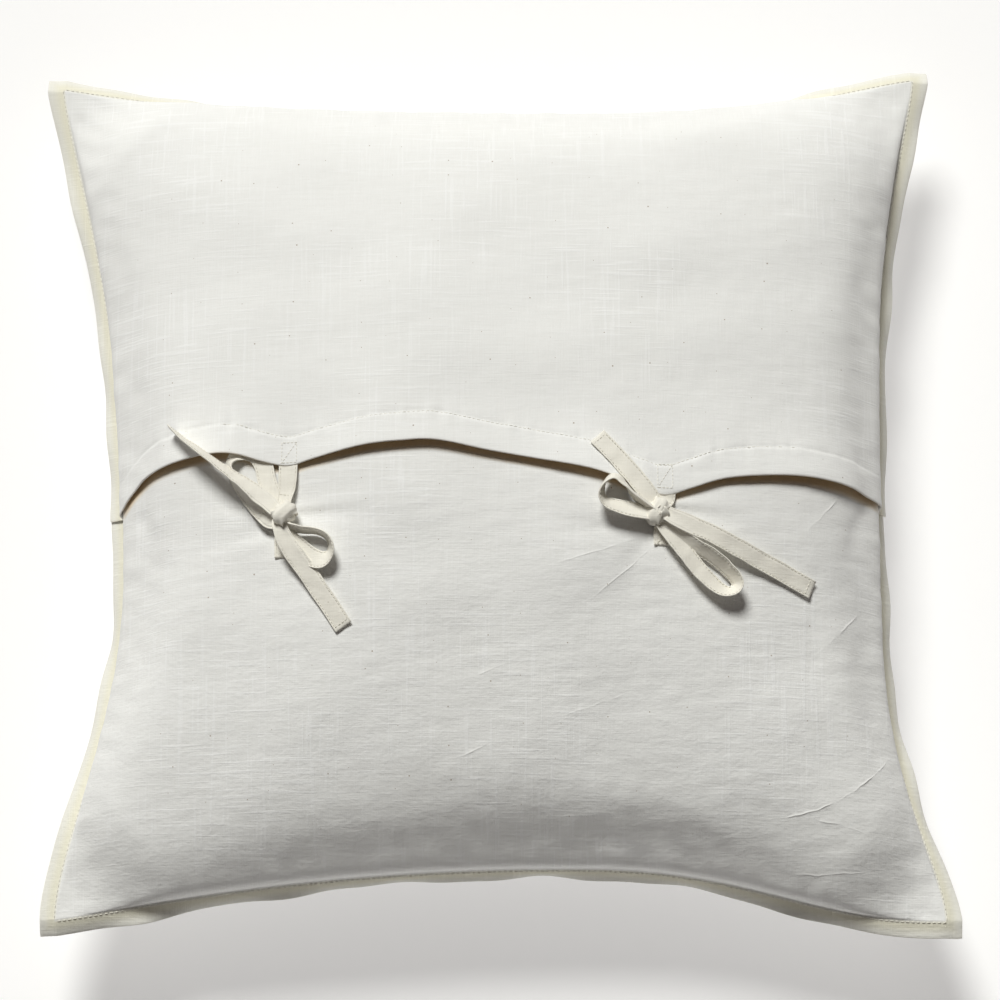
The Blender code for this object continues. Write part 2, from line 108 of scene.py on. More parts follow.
# How far the edge stands off the lower panel at places across the cushion, in mm
FLAP_LIFT = (
    (-280, 0.4), (-260, 1.2), (-215, 5.2), (-180, 6.4), (-150, 2.6), (-135, 2.6), (-100, 5.6),
    (-45, 6.2), (15, 5), (70, 6.6), (100, 3.6), (125, 2.4), (150, 3.6), (205, 5.8), (245, 5.8),
    (268, 1.4), (280, 0.4),
)


# ---- Small tools ----


def smooth_step(share):
    share = np.clip(share, 0.0, 1.0)
    return share * share * (3.0 - 2.0 * share)


def unit(vectors):
    return vectors / np.maximum(np.linalg.norm(vectors, axis=-1, keepdims=True), 1e-12)


def squarish(values, power):
    """The values with their sizes raised to a power, keeping their signs."""
    return np.sign(values) * np.abs(values) ** power


def full_turn(count):
    """Angles at even steps round a circle."""
    return np.linspace(0, 2 * math.pi, count, endpoint=False)


def read_along(places, along, values):
    """Each column of the values, whose rows lie at the distances along, at other places between them."""
    return np.stack([np.interp(places, along, column) for column in values.T], axis=1)


def curve_through(points, count):
    """Points on a Catmull-Rom curve through all the given points, evenly shared between them.

    Between p1 and p2, the curve is half of 2 p1 + (p2 - p0) t + (2 p0 - 5 p1 + 4 p2 - p3) t² +
    (3 p1 - p0 - 3 p2 + p3) t³.
    """
    points = np.asarray(points, float)
    ends = np.concatenate([[2 * points[0] - points[1]], points, [2 * points[-1] - points[-2]]])
    at = np.linspace(0.0, len(points) - 1.0, count)
    i = np.minimum(at.astype(int), len(points) - 2)
    t = (at - i)[:, None]
    p0, p1, p2, p3 = ends[i], ends[i + 1], ends[i + 2], ends[i + 3]
    curved = (2 * p0 - 5 * p1 + 4 * p2 - p3) * t * t + (3 * p1 - p0 - 3 * p2 + p3) * t**3
    return (2 * p1 + (p2 - p0) * t + curved) / 2


def even_steps(points, count):
    """The same line with its points at even distances."""
    along = np.concatenate([[0.0], np.cumsum(np.linalg.norm(np.diff(points[:, :3], axis=0), axis=1))])
    return read_along(np.linspace(0.0, along[-1], count), along, points)


def ripples(x, y, wave, seed, stretch=1.0, count=22):
    """Random soft ripples of about unit height: the sum of plane waves with seeded headings and phases.

    A stretch over one makes them that much longer in X than in Y.
    """
    draw = np.random.default_rng(seed)
    heading, phase = draw.uniform(0.0, 2 * math.pi, (2, count))
    length = wave * draw.uniform(0.7, 1.6, count)
    total = np.zeros(np.broadcast(x, y).shape)
    for turn, start, long in zip(heading, phase, length):
        total += np.sin(2 * math.pi * (x / stretch * math.cos(turn) + y * math.sin(turn)) / long + start)
    return total * math.sqrt(2.0 / count)


def sampled(grid, u, v):
    """Values at u and v, each -1 to 1, of a grid of values: a cubic B-spline over its 16 nearest ones."""
    last = grid.shape[0] - 1
    found = np.zeros(u.shape + grid.shape[2:])
    a, b = (np.clip(c * 0.5 + 0.5, 0.0, 1.0) * last for c in (u, v))
    i, j = (np.minimum(c.astype(int), last - 1) for c in (a, b))

    def weights(t):
        return ((1 - t) ** 3, 3 * t**3 - 6 * t**2 + 4, -3 * t**3 + 3 * t**2 + 3 * t + 1, t**3)

    for m, across in enumerate(weights(a - i)):
        column = np.clip(i + m - 1, 0, last)
        for n, along in enumerate(weights(b - j)):
            row = np.clip(j + n - 1, 0, last)
            found += (across * along / 36.0)[..., None] * grid[row, column]
    return found


# ---- The cover's shape ----


def drawn_in(t, side):
    """0 at a side's two ends and 1 where it is drawn in most: (1 - share^p)^q towards each end."""
    deepest, (start, end) = side["deepest"], side["flare"]
    before = np.clip((deepest - t) / (1 + deepest), 0.0, 1.0)
    after = np.clip((t - deepest) / (1 - deepest), 0.0, 1.0)
    shares = (1 - before ** start[0]) ** start[1], (1 - after ** end[0]) ** end[1]
    return np.where(t < deepest, *shares)


def droop_of(t, side):
    """How far a side's flange hangs down, in radians: a third as far at its corners as in its middle."""
    return math.radians(side["droop"]) * (0.34 + 0.66 * drawn_in(t, side))


def seam_reach(t, side):
    """Distance from the middle to a side's seam, which is inside the edge by the flange's seen width."""
    droop = droop_of(t, side)
    seen = np.cos(droop) + side["lean"] * np.sin(droop)
    return HALF_SPAN - side["pull"] * drawn_in(t, side) - FLANGE * seen


def plan(u, v):
    """X and Y of a place on the cover. u and v run from seam to seam, -1 to 1."""
    left, right = seam_reach(-v, SIDES["left"]), seam_reach(-v, SIDES["right"])
    near, far = seam_reach(u, SIDES["near"]), seam_reach(u, SIDES["far"])
    x = (right - left) / 2 + u * (right + left) / 2
    y = (far - near) / 2 + v * (far + near) / 2
    shares = ((1 - u) * (1 - v), (1 + u) * (1 - v), (1 - u) * (1 + v), (1 + u) * (1 + v))
    for share, (shift_x, shift_y) in zip(shares, CORNER_SHIFTS):
        x = x + share / 4 * shift_x
        y = y + share / 4 * shift_y
    return x, y


def puff(u, v):
    """1 in the middle and 0 along the seam, with steep sides, and little filling in the corners."""
    corner = smooth_step((2.0 - np.abs(u) - np.abs(v)) / CORNER_SHARE) ** 1.5
    return corner * np.maximum(0.0, (1.0 - u * u) * (1.0 - v * v)) ** PUFF_POWER


def belly(t, across):
    """How far a stuffed side stands out over its seam: s e^(1-s) of the distance s from the seam."""
    s = (1.0 - np.abs(t)) / BULGE_SHARE
    return np.sign(t) * BULGE * (1.0 - across * across) * s * np.exp(1.0 - s)


def stuffed(u, v, side):
    """A point of the plain stuffed cover. side +1 is the tied side and -1 the side on the floor."""
    x, y = plan(u, v)
    if side > 0:
        x, y = x + belly(u, v), y + belly(v, u)
        z = SEAM_HEIGHT + SEAM_GAP / 2 + COVER_CLOTH + CROWN_RISE * puff(u, v)
    else:
        z = SEAM_HEIGHT - SEAM_GAP / 2 - COVER_CLOTH - BASE_DROP * puff(u, v)
    return np.stack([x, y, z], axis=-1)


def simulate_cover():
    """How the two sides of the stuffed cover settle, as shifts on an even grid of u and v.

    The cover starts stuffed, and its cloth wants to be as flat as it was cut. Pressure from inside
    holds it out, so the cloth gathers where the seams are drawn in.
    """
    rows = SIM_CELLS + 1
    lines = np.linspace(-1.0, 1.0, rows)
    u, v = np.meshgrid(lines, lines)
    inside = (np.abs(u) < 1) & (np.abs(v) < 1)
    top_index = np.arange(rows * rows).reshape(rows, rows)
    base_index = top_index.copy()
    base_index[inside] = rows * rows + np.arange(inside.sum())
    top, base = stuffed(u, v, 1), stuffed(u, v, -1)
    start = np.concatenate([top.reshape(-1, 3), base[inside]])
    flat_half = HALF_SPAN - FLANGE / 2
    low_dome = 0.004 * np.sqrt(np.clip((1 - u * u) * (1 - v * v), 0.0, 1.0))
    flat = np.stack([u * flat_half, v * flat_half, low_dome], axis=-1)
    as_cut = np.concatenate([flat.reshape(-1, 3), flat[inside] * (1.0, 1.0, -1.0)])
    faces = np.concatenate([grid_quads(top_index), grid_quads(base_index)[:, ::-1]])
    mesh = bpy.data.meshes.new("settling_cover")
    mesh.from_pydata(start.tolist(), [], faces.tolist())
    cover = bpy.data.objects.new("settling_cover", mesh)
    bpy.context.collection.objects.link(cover)
    cover.shape_key_add(name="Basis")
    cut = cover.shape_key_add(name="as_cut")
    cut.data.foreach_set("co", as_cut.astype(np.float32).ravel())
    cloth = cover.modifiers.new("cloth", "CLOTH")
    settings = cloth.settings
    for name, value in SETTLING.items():
        setattr(settings, name, value)
    settings.effector_weights.gravity = 0
    settings.rest_shape_key = cut
    cloth.collision_settings.use_collision = False
    scene = bpy.context.scene
    scene.frame_end = SIM_FRAMES + 1
    cloth.point_cache.frame_end = SIM_FRAMES + 1
    for step in range(1, SIM_FRAMES + 1):
        scene.frame_set(step)
    settled = cover.evaluated_get(bpy.context.evaluated_depsgraph_get()).to_mesh()
    found = np.empty(len(start) * 3)
    settled.vertices.foreach_get("co", found)
    found = found.reshape(-1, 3)
    bpy.data.objects.remove(cover)
    scene.frame_set(1)
    moved = found - start
    length = np.linalg.norm(moved, axis=1, keepdims=True)
    moved *= np.minimum(1.0, SIM_CAP / np.maximum(length, 1e-9))
    hold = smooth_step(puff(u, v) * 2.5)[..., None]
    shifts = {}
    for side, index in ((1, top_index), (-1, base_index)):
        shifts[side] = moved[index] * hold
        middle = shifts[side][rows // 2, rows // 2, 2]
        shifts[side][..., 2] -= middle * puff(u, v)
    return shifts


def grid_quads(index):
    """Quads of a grid of point numbers, facing up when its rows run along +Y and columns along +X."""
    corners = (index[:-1, :-1], index[:-1, 1:], index[1:, 1:], index[1:, :-1])
    return np.stack(corners, axis=-1).reshape(-1, 4)


settling = simulate_cover()

# ---- Folds and creases of the tied side ----

# Pressed creases of the lower panel: start and end in X and Y, and how far each bows to its left, all in
# mm, and its strength
CREASES = (
    (-35.5, -163, 9.4, -144.4, -1.5, 0.8), (-27.3, -209.4, -2.4, -198.5, -1, 0.6),
    (245.1, -17.6, 203, -69, -1, 0.7), (280.2, -196.2, 165, -247, 18.5, 1.3),
    (258.5, -96.7, 221.6, -136.3, 1, 0.8), (202.9, -282, 269.6, -277.9, -2.6, 0.7),
    (222, -247, 263, -257, 1, 0.6), (110.6, -64, 56, -110, 1.2, 0.6), (109, -56, 25, -83, 1, 0.5),
    (46, -183.3, 101.3, -162.8, 1, 0.4),
)
# Folds that the ties pull up, in mm: start and end in X and Y, width, and height, under zero for a valley
PULL_FOLDS = (
    (106.7, -47, 44, -56, 5.5, -1.6), (106, -42, 35, -33, 7.5, 1), (120, -36, 172, -44, 5, -1.6),
    (121, -33, 180, -33, 5, 1), (120, -30, 160, -23.5, 4.5, -1.2), (108, -56, 78, -120, 9, -0.9),
    (-137, -35, -80, -30, 5, 0.9), (-136, -40, -76, -42, 5, -1.2), (-154, -48, -215, -62, 7, -1),
    (-156, -40, -225, -38, 7, 0.8), (-142, -60, -100, -125, 10, -0.8), (-250, -30, -225, -90, 9, -1.4),
    (260, -25, 242, -90, 8, -1.2),
)
KNOTS = {side: sum(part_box(f"{side}_bow_knot"), Vector()) / 2 for side in ("left", "right")}


def from_line(x, y, start, end):
    """Distance from the stretch between two points, and how far along it each place is, 0 to 1."""
    ax, ay = start
    bx, by = end[0] - ax, end[1] - ay
    along = np.clip(((x - ax) * bx + (y - ay) * by) / (bx * bx + by * by), 0.0, 1.0)
    return np.hypot(x - ax - along * bx, y - ay - along * by), along


def off_crease(x, y, crease):
    """How far along a crease's arc a place is, 0 to 1, and its distance to the arc's left.

    It works on arrays of numbers and on shader outputs.
    """
    start, end, bow = Vector(crease[0:2]) * MM, Vector(crease[2:4]) * MM, crease[4] * MM
    long = (end - start).length
    ahead = (end - start) / long
    share = (x - start.x) * (ahead.x / long) + (y - start.y) * (ahead.y / long)
    away = (y - start.y) * ahead.x - (x - start.x) * ahead.y - share * (1.0 - share) * (4 * bow)
    return share, away


def pressed(x, y):
    """The creases as low ridges: height times e^(-(away / 2.6 mm)^2), fading towards both ends."""
    total = np.zeros(x.shape)
    for crease in CREASES:
        share, away = off_crease(x, y, crease)
        fade = smooth_step(share / 0.2) * (1 - smooth_step((share - 0.5) / 0.5))
        total += 0.0003 * crease[5] * fade * np.exp(-((away / 0.0026) ** 2))
    return total


def pulls(x, y):
    """A dimple under each knot, and the folds that run out from it."""
    total = np.zeros(x.shape)
    for knot in KNOTS.values():
        total -= 0.0016 * np.exp(-((x - knot.x) ** 2 + (y - knot.y) ** 2) / 0.017**2)
    for fold in PULL_FOLDS:
        start_x, start_y, end_x, end_y, width, height = np.multiply(fold, MM)
        away, along = from_line(x, y, (start_x, start_y), (end_x, end_y))
        total += height * (1 - along) ** 0.7 * np.exp(-((away / (width * (0.5 + along))) ** 2))
    return total


def relief(x, y, seam_share):
    """How far the cloth of the tied side stands off its plain shape: its waves, crepe and creases."""
    lower = smooth_step((0.02 - y) / 0.10)
    right = smooth_step((x + 0.05) / 0.2)
    waves = 0.0011 * ripples(x, y, 0.16, 3) + 0.00045 * ripples(x, y, 0.06, 5, 1.5)
    crepe = 0.00003 + 0.000035 * lower + 0.00002 * right
    crinkle = crepe * ripples(x, y, 0.0095, 7, 2.2) + 0.8 * crepe * ripples(x, y, 0.017, 9, 0.9)
    puckers = 0.0005 * np.exp(-seam_share / 0.06) * ripples(x, y, 0.022, 11)
    return waves * np.minimum(1.0, seam_share * 5) + crinkle + puckers + pulls(x, y) + pressed(x, y)


def body(u, v, side):
    """A point of the settled cover, without its folds."""
    return stuffed(u, v, side) + sampled(settling[side], u, v)


def upward(points):
    """Normals of a grid of points, by the cross product of its two directions."""
    along = np.gradient(points, axis=0)
    across = np.gradient(points, axis=1)
    return unit(np.cross(across, along))


# ---- Grids over the cover ----


def spread_lines(half, cell):
    """Shares from 0 to 1 of the way to a seam: cells grow from a fifth of a millimetre at the seam."""
    steps = np.minimum(cell, 0.0002 + 0.0003 * np.arange(int(half / cell) + 12))
    from_seam = np.concatenate([[0.0], np.cumsum(steps)])
    from_seam = from_seam[from_seam < half - cell / 2]
    return 1.0 - np.append(from_seam, half)[::-1] / half


def both_ways(half, cell):
    one = spread_lines(half, cell)
    return np.concatenate([-one[:0:-1], one])


def with_flange(lines, start, end, steps=6):
    """(place from seam to seam, distance out on the flange) of each line, with the flange's lines added."""
    out = np.linspace(0.0, FLANGE, steps + 1)[1:]
    inner = np.stack([lines, np.zeros(len(lines))], axis=1)
    parts = [inner]
    if start:
        parts.insert(0, np.stack([np.full(steps, -1.0), -out[::-1]], axis=1))
    if end:
        parts.append(np.stack([np.full(steps, 1.0), out], axis=1))
    return np.concatenate(parts)


def flange_shift(u, v, out_x, out_y, side):
    """Where the flange lies from the seam: out and down by its droop, with a gentle wave at its edge."""
    shift = np.zeros(u.shape + (3,))
    half = SEAM_GAP / 2 + COVER_CLOTH
    for axis, out, t, names in ((0, out_x, -v, ("left", "right")), (1, out_y, u, ("near", "far"))):
        for sign, name in zip((-1, 1), names):
            here = np.sign(out) == sign
            droop = droop_of(t, SIDES[name])
            far = np.abs(out)
            wavy = ripples(t * HALF_SPAN, far * 0 + sign, 0.075, 20 + axis, count=9)
            lift = 0.0011 * wavy * (far / FLANGE) ** 2
            level = lift + side * half
            shift[..., axis] += np.where(here, sign * (far * np.cos(droop) + level * np.sin(droop)), 0)
            sunk = level * np.cos(droop) - far * np.sin(droop) - side * half
            shift[..., 2] += np.where(here, sunk, 0)
    return shift


def lay_out(columns, v_rows, out_rows, side):
    """Grids of u, v, the distance out on the flange, and the points of flanged columns and rows.

    The rows have one v each, or one for each column, as along the flap's curved edge.
    """
    shape = (len(out_rows), len(columns))
    u, v = np.broadcast_to(columns[:, 0], shape), np.broadcast_to(v_rows, shape)
    out_x, out_y = np.broadcast_to(columns[:, 1], shape), np.broadcast_to(out_rows[:, None], shape)
    points = body(u, v, side) + flange_shift(u, v, out_x, out_y, side)
    return u, v, np.maximum(np.abs(out_x), np.abs(out_y)), points


def shell(name, outer, inner, flip=False):
    """A closed cloth: two grids, joined all round by a rim whose points bow out half a thickness."""
    rows, columns = outer.shape[:2]
    count = rows * columns
    index = np.arange(count).reshape(rows, columns)
    edge = np.concatenate([index[0, :-1], index[:-1, -1], index[-1, :0:-1], index[:0:-1, 0]])
    inside = np.concatenate([index[1, :-1], index[:-1, -2], index[-2, :0:-1], index[:0:-1, 1]])
    flat_outer, flat_inner = outer.reshape(-1, 3), inner.reshape(-1, 3)
    away = unit(flat_outer[edge] - flat_outer[inside])
    thick = np.linalg.norm(flat_outer[edge] - flat_inner[edge], axis=1, keepdims=True)
    points = [flat_outer, flat_inner]
    rings = [edge]
    for turn in (45, 90, 135):
        share = 0.5 - math.cos(math.radians(turn)) / 2
        ring = flat_outer[edge] * (1 - share) + flat_inner[edge] * share
        points.append(ring + away * thick * math.sin(math.radians(turn)) / 2)
        rings.append(2 * count + len(edge) * (len(rings) - 1) + np.arange(len(edge)))
    rings.append(edge + count)
    faces = [grid_quads(index), grid_quads(index + count)[:, ::-1]]
    for one, two in zip(rings[:-1], rings[1:]):
        after, next_two = np.roll(one, -1), np.roll(two, -1)
        faces.append(np.stack([one, two, next_two, after], axis=-1))
    faces = np.concatenate(faces)
    return piece(name, np.concatenate(points), faces[:, ::-1] if flip else faces)


def ring_quads(index):
    """Quads between rings of point numbers: each row of the index is a ring that closes on itself."""
    one, two = index[:-1], index[1:]
    return np.stack([one, two, np.roll(two, -1, 1), np.roll(one, -1, 1)], axis=-1).reshape(-1, 4)


def piece(name, points, *faces):
    """An object from points and one or more arrays of faces, each array with its own count of corners."""
    mesh = bpy.data.meshes.new(name)
    points = np.ascontiguousarray(points, dtype=np.float32)
    corners = np.concatenate([np.ravel(group) for group in faces]).astype(np.int32)
    sizes = np.concatenate([np.full(len(group), len(group[0]), np.int32) for group in faces])
    mesh.vertices.add(len(points))
    mesh.vertices.foreach_set("co", points.ravel())
    mesh.loops.add(len(corners))
    mesh.loops.foreach_set("vertex_index", corners)
    mesh.polygons.add(len(sizes))
    mesh.polygons.foreach_set("loop_start", np.cumsum(sizes, dtype=np.int32) - sizes)
    mesh.polygons.foreach_set("use_smooth", np.ones(len(sizes), bool))
    mesh.update(calc_edges=True)
    mesh.validate()
    made = bpy.data.objects.new(name, mesh)
    bpy.context.collection.objects.link(made)
    return made


def mark(made, name, values):
    """Stores one number for each point, for the material to read."""
    count = len(made.data.vertices)
    values = np.asarray(values, np.float32).ravel()
    padded_out = np.resize(values, count) if len(values) < count else values[:count]
    made.data.attributes.new(name, "FLOAT", "POINT").data.foreach_set("value", padded_out)


# ---- The flap's edge ----

EDGE_LINE = curve_through(FLAP_EDGE, 400) * MM
LIFT_LINE = curve_through(FLAP_LIFT, 200) * MM


def edge_y(x):
    return np.interp(x, EDGE_LINE[:, 0], EDGE_LINE[:, 1])


def edge_lift(x):
    return np.interp(x, LIFT_LINE[:, 0], LIFT_LINE[:, 1])


def edge_v(u):
    """v of the flap's edge at each u, found by turns."""
    v = np.zeros(u.shape)
    for _ in range(25):
        x, y = body(u, v, 1)[..., :2].T
        v = v + (edge_y(x) - y) / MID_SPAN
    return v


def flap_rise(x, y, seam_share):
    """How far the flap's outside lies over the lower panel's: its own cloth, and the lift of its edge."""
    past = y - edge_y(x)
    own = (COVER_CLOTH + LAYER_GAP) * (1 - smooth_step((past - UNDERLAP) / 0.06))
    bow = edge_lift(x) * np.exp(-((np.maximum(past, 0) / 0.024) ** 1.3))
    fold = HEM_FOLD * hem_share(past, seam_share)
    stitched = np.abs(past - HEM)
    gather = 0.00035 * ripples(x, y * 0, 0.010, 31) * np.exp(-stitched / 0.005)
    groove = -0.0005 * np.exp(-((stitched / 0.0011) ** 2))
    return own + bow + fold * 0.6 + (gather + groove) * np.minimum(1, seam_share * 12)


def hem_share(past, seam_share):
    """1 in the hem, where the cloth is folded, and 0 past its stitches and at the side seams."""
    return (1 - smooth_step((past - HEM + 0.0004) / 0.0012)) * smooth_step(seam_share / 0.05)


def tied_side(x, y, flap=1.0):
    """Height of the outermost cloth at X and Y on the tied side, or of the lower panel when flap is 0."""
    u, v = x / 0.29, y / 0.29
    for _ in range(30):
        place = body(u, v, 1)
        u = np.clip(u + (x - place[..., 0]) / MID_SPAN, -0.999, 0.999)
        v = np.clip(v + (y - place[..., 1]) / MID_SPAN, -0.999, 0.999)
    share = np.minimum(1 - np.abs(u), 1 - np.abs(v))
    on_flap = smooth_step((y - edge_y(x)) / 0.003 + 1.0)
    return body(u, v, 1)[..., 2] + relief(x, y, share) + flap * on_flap * flap_rise(x, y, share)


def tied_normals(x, y, flap=1.0):
    """Normals of the tied side's broad shape, from height differences over a finger's width."""
    step = 0.006
    slope_x = (tied_side(x + step, y, flap) - tied_side(x - step, y, flap)) / (2 * step)
    slope_y = (tied_side(x, y + step, flap) - tied_side(x, y - step, flap)) / (2 * step)
    return unit(np.stack([-slope_x, -slope_y, np.ones(x.shape)], axis=-1))


# ---- Materials ----


class Socket:
    """A shader output that takes part in Python expressions."""

    def __init__(self, work, out):
        self.work, self.out = work, out

    def maths(self, operation, *others):
        inputs = dict(enumerate((self, *others)))
        return self.work.node("ShaderNodeMath", {"operation": operation}, inputs)

    def __add__(self, other):
        return self.maths("ADD", other)

    __radd__ = __add__

    def __mul__(self, other):
        return self.maths("MULTIPLY", other)

    __rmul__ = __mul__

    def __sub__(self, other):
        return self.maths("SUBTRACT", other)

    def __rsub__(self, other):
        return self.work.node("ShaderNodeMath", {"operation": "SUBTRACT"}, {0: other, 1: self})

    def __pow__(self, other):
        return self.maths("POWER", other)

    def __rtruediv__(self, other):
        return self.work.node("ShaderNodeMath", {"operation": "DIVIDE"}, {0: other, 1: self})

    def between(self, low, high):
        """0 below low and 1 above high, smoothly."""
        settings = {"interpolation_type": "SMOOTHSTEP"}
        inputs = {"Value": self, "From Min": low, "From Max": high}
        return self.work.node("ShaderNodeMapRange", settings, inputs)


class Work:
    """One material's nodes."""

    def __init__(self, name):
        self.material = bpy.data.materials.new(name)
        self.material.use_nodes = True
        self.tree = self.material.node_tree
        self.shader = self.tree.nodes["Principled BSDF"]

    def node(self, kind, settings=None, inputs=None, out=0):
        """Adds a node with these settings, then fills its sockets with values or links."""
        made = self.tree.nodes.new(kind)
        for key, value in (settings or {}).items():
            setattr(made, key, value)
        for key, value in (inputs or {}).items():
            self.fill(made.inputs[key], value)
        return Socket(self, made.outputs[out])

    def fill(self, socket, value):
        if isinstance(value, Socket):
            self.tree.links.new(value.out, socket)
        else:
            socket.default_value = value

    def noise(self, place, scale, detail=2.0, out=0):
        return self.node("ShaderNodeTexNoise", None, {"Vector": place, "Scale": scale, "Detail": detail}, out)

    def stretched(self, place, x, y, z):
        """The place with each axis multiplied."""
        inputs = {0: place, 1: (x, y, z)}
        return self.node("ShaderNodeVectorMath", {"operation": "MULTIPLY"}, inputs)

    def mix(self, share, one, two, kind="MIX"):
        settings = {"data_type": "RGBA", "blend_type": kind}
        return self.node("ShaderNodeMix", settings, {0: share, 6: one, 7: two}, 2)

    def crease(self, x, y, wander, crease):
        """A ridge 1 / (1 + (away / half width)^2)^2 along an arc that bows and wanders between two points."""
        share, away = off_crease(x, y, crease)
        ridge = 1.0 / (((away + wander) * (1 / CREASE_HALF)) ** 2.0 + 1.0) ** 2.0
        fade = share.between(0.0, 0.2) * (1.0 - share.between(0.5, 1.0))
        return ridge * fade * crease[5]

    def finish(self, colour, roughness, height=None, distance=0.001, strength=1.0):
        self.fill(self.shader.inputs["Base Color"], colour)
        self.fill(self.shader.inputs["Roughness"], roughness)
        if height is not None:
            inputs = {"Strength": strength, "Distance": distance, "Height": height}
            self.fill(self.shader.inputs["Normal"], self.node("ShaderNodeBump", None, inputs))
        return self.material


def slub_cotton(name, light, deep, flecks=1.0, slubs=1.0, thread=1100.0, creased=()):
    """Natural cotton: fine warp and weft, thicker slub threads both ways, crepe and seed flecks.

    It reads the object's own coordinates, and two marks: seam is 1 on the flange, where its two layers of
    cloth show warmer and painted shade from the body darkens its root, and the other mark is 1 under the flap
    and just before its edge, where painted shade tints the cloth a warm tan.
    """
    work = Work(name)
    place = work.node("ShaderNodeTexCoord", out=3)
    seam = work.node("ShaderNodeAttribute", {"attribute_name": "seam"}, out=2)
    under_flap_shade = work.node("ShaderNodeAttribute", {"attribute_name": "under_flap_shade"}, out=2)
    x, y, z = (work.node("ShaderNodeSeparateXYZ", None, {0: place}, axis) for axis in (0, 1, 2))
    lower = 1.0 - y.between(-0.22, 0.12)
    weft = work.noise(work.stretched(place, 60, thread, 60), 1.0, 1.0)
    warp = work.noise(work.stretched(place, thread, 60, 60), 1.0, 1.0)
    weft_slub = work.noise(work.stretched(place, 30, 560, 30), 1.0, 0.0).between(0.58, 0.74)
    warp_slub = work.noise(work.stretched(place, 560, 18, 30), 1.0, 0.0).between(0.60, 0.74)
    slub_patch = work.noise(place, 9.0, 1.0).between(0.38, 0.62)
    threads = (weft_slub + warp_slub) * (slub_patch * 0.8 + 0.2) * slubs
    crepe = work.noise(work.stretched(place, 210, 360, 210), 1.0, 2.5)
    cloudy = work.noise(place, 14.0, 4.0)
    cells = {"Vector": place, "Scale": 36.0, "Randomness": 1.0}
    away = work.node("ShaderNodeTexVoronoi", {"voronoi_dimensions": "2D"}, cells, 0)
    kind = work.node("ShaderNodeTexVoronoi", {"voronoi_dimensions": "2D"}, cells, 1)
    pick = work.node("ShaderNodeSeparateColor", None, {0: kind}, 0)
    reach = 0.006 + 0.013 * (pick ** 3.0)
    fleck = (1.0 - (away - reach).between(-0.003, 0.008)) * pick.between(0.2, 0.3) * flecks
    fleck = fleck * z.between(0.12, 0.15)
    shade = (cloudy - 0.5) * 0.25 + (weft + warp - 1.0) * 0.34 + threads * 0.30 + 0.62
    base = work.mix(shade.maths("MINIMUM", 1.0), deep, light)
    # Warmer on the flange: partly its two layers of cloth, partly painted shade where the body stands over
    # its root.
    warm = work.mix(seam, base, (0.965, 0.935, 0.79, 1.0), "MULTIPLY")
    # Painted shade: a warm tan multiplied in under the flap and just before its edge, where the lifted edge
    # shades the lower panel.
    shade_tinted = work.mix(under_flap_shade, warm, (0.88, 0.71, 0.49, 1.0), "MULTIPLY")
    colour = work.mix(fleck * 0.7, shade_tinted, (0.30, 0.22, 0.14, 1.0))
    height = (weft + warp) * 0.26 + threads * 0.13 + crepe * (lower * 0.62 + 0.22)
    wander = (work.noise(place, 75.0, 1.0) - 0.5) * 0.003
    broken = work.noise(place, 48.0, 1.0).between(0.34, 0.6)
    for crease in creased:
        height = height + work.crease(x, y, wander, crease) * broken
    return work.finish(colour, 0.88 + cloudy * 0.08, height, 0.0006, 0.75)


def plain_weave(name, light, deep, scale=900.0):
    """Fine even weave of lining cloth, with a slight cloud in its colour."""
    work = Work(name)
    place = work.node("ShaderNodeTexCoord", out=3)
    across = work.noise(work.stretched(place, 40, scale, 40), 1.0, 1.0)
    along = work.noise(work.stretched(place, scale, 40, 40), 1.0, 1.0)
    cloudy = work.noise(place, 18.0, 3.0)
    shade = (across + along) * 0.4 + cloudy * 0.3
    return work.finish(work.mix(shade, deep, light), 0.92, across + along, 0.0003, 0.6)


def loft(name, light, deep):
    """Tangled fibre: two crossed noises, warped by a third, for its colour and its hairy surface."""
    work = Work(name)
    place = work.node("ShaderNodeTexCoord", out=3)
    tangle = work.noise(place, 30.0, 3.0, 1)
    bent = work.node("ShaderNodeVectorMath", {"operation": "ADD"}, {0: place, 1: tangle})
    hairs = work.noise(work.stretched(bent, 60, 260, 90), 1.0, 6.0)
    tufts = work.noise(place, 38.0, 4.0)
    return work.finish(work.mix(hairs * 0.6 + tufts * 0.4, deep, light), 1.0, hairs + tufts, 0.002, 0.9)


def twisted_thread(name, light, deep):
    """Sewing thread with the fine slant of its twist."""
    work = Work(name)
    place = work.node("ShaderNodeTexCoord", out=3)
    slant = {"wave_type": "BANDS", "bands_direction": "DIAGONAL"}
    twist = work.node("ShaderNodeTexWave", slant, {"Vector": place, "Scale": 900.0, "Distortion": 1.0}, 1)
    return work.finish(work.mix(twist * 0.5 + 0.3, deep, light), 0.75, twist, 0.0001, 0.6)


COVER = slub_cotton("cover_cotton", (0.91, 0.91, 0.90, 1.0), (0.79, 0.785, 0.755, 1.0), creased=CREASES)
TAPE = slub_cotton("tie_tape", (0.90, 0.875, 0.80, 1.0), (0.78, 0.745, 0.66, 1.0), 0.5, 0.6, 1500.0)
LINING = plain_weave("white_lining", (0.88, 0.88, 0.87, 1.0), (0.74, 0.74, 0.73, 1.0))
FIBRE = loft("fibre_loft", (0.93, 0.93, 0.94, 1.0), (0.70, 0.70, 0.72, 1.0))
THREAD = twisted_thread("cream_thread", (0.92, 0.90, 0.82, 1.0), (0.78, 0.75, 0.66, 1.0))


def dress(made, material, slot, body_name, *nodes):
    """Gives a piece its finish, the body it rides on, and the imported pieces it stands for."""
    made.data.materials.append(material)
    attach(made, body_name)
    if nodes:
        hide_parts(*nodes)
    return made


# ---- Cover panels ----


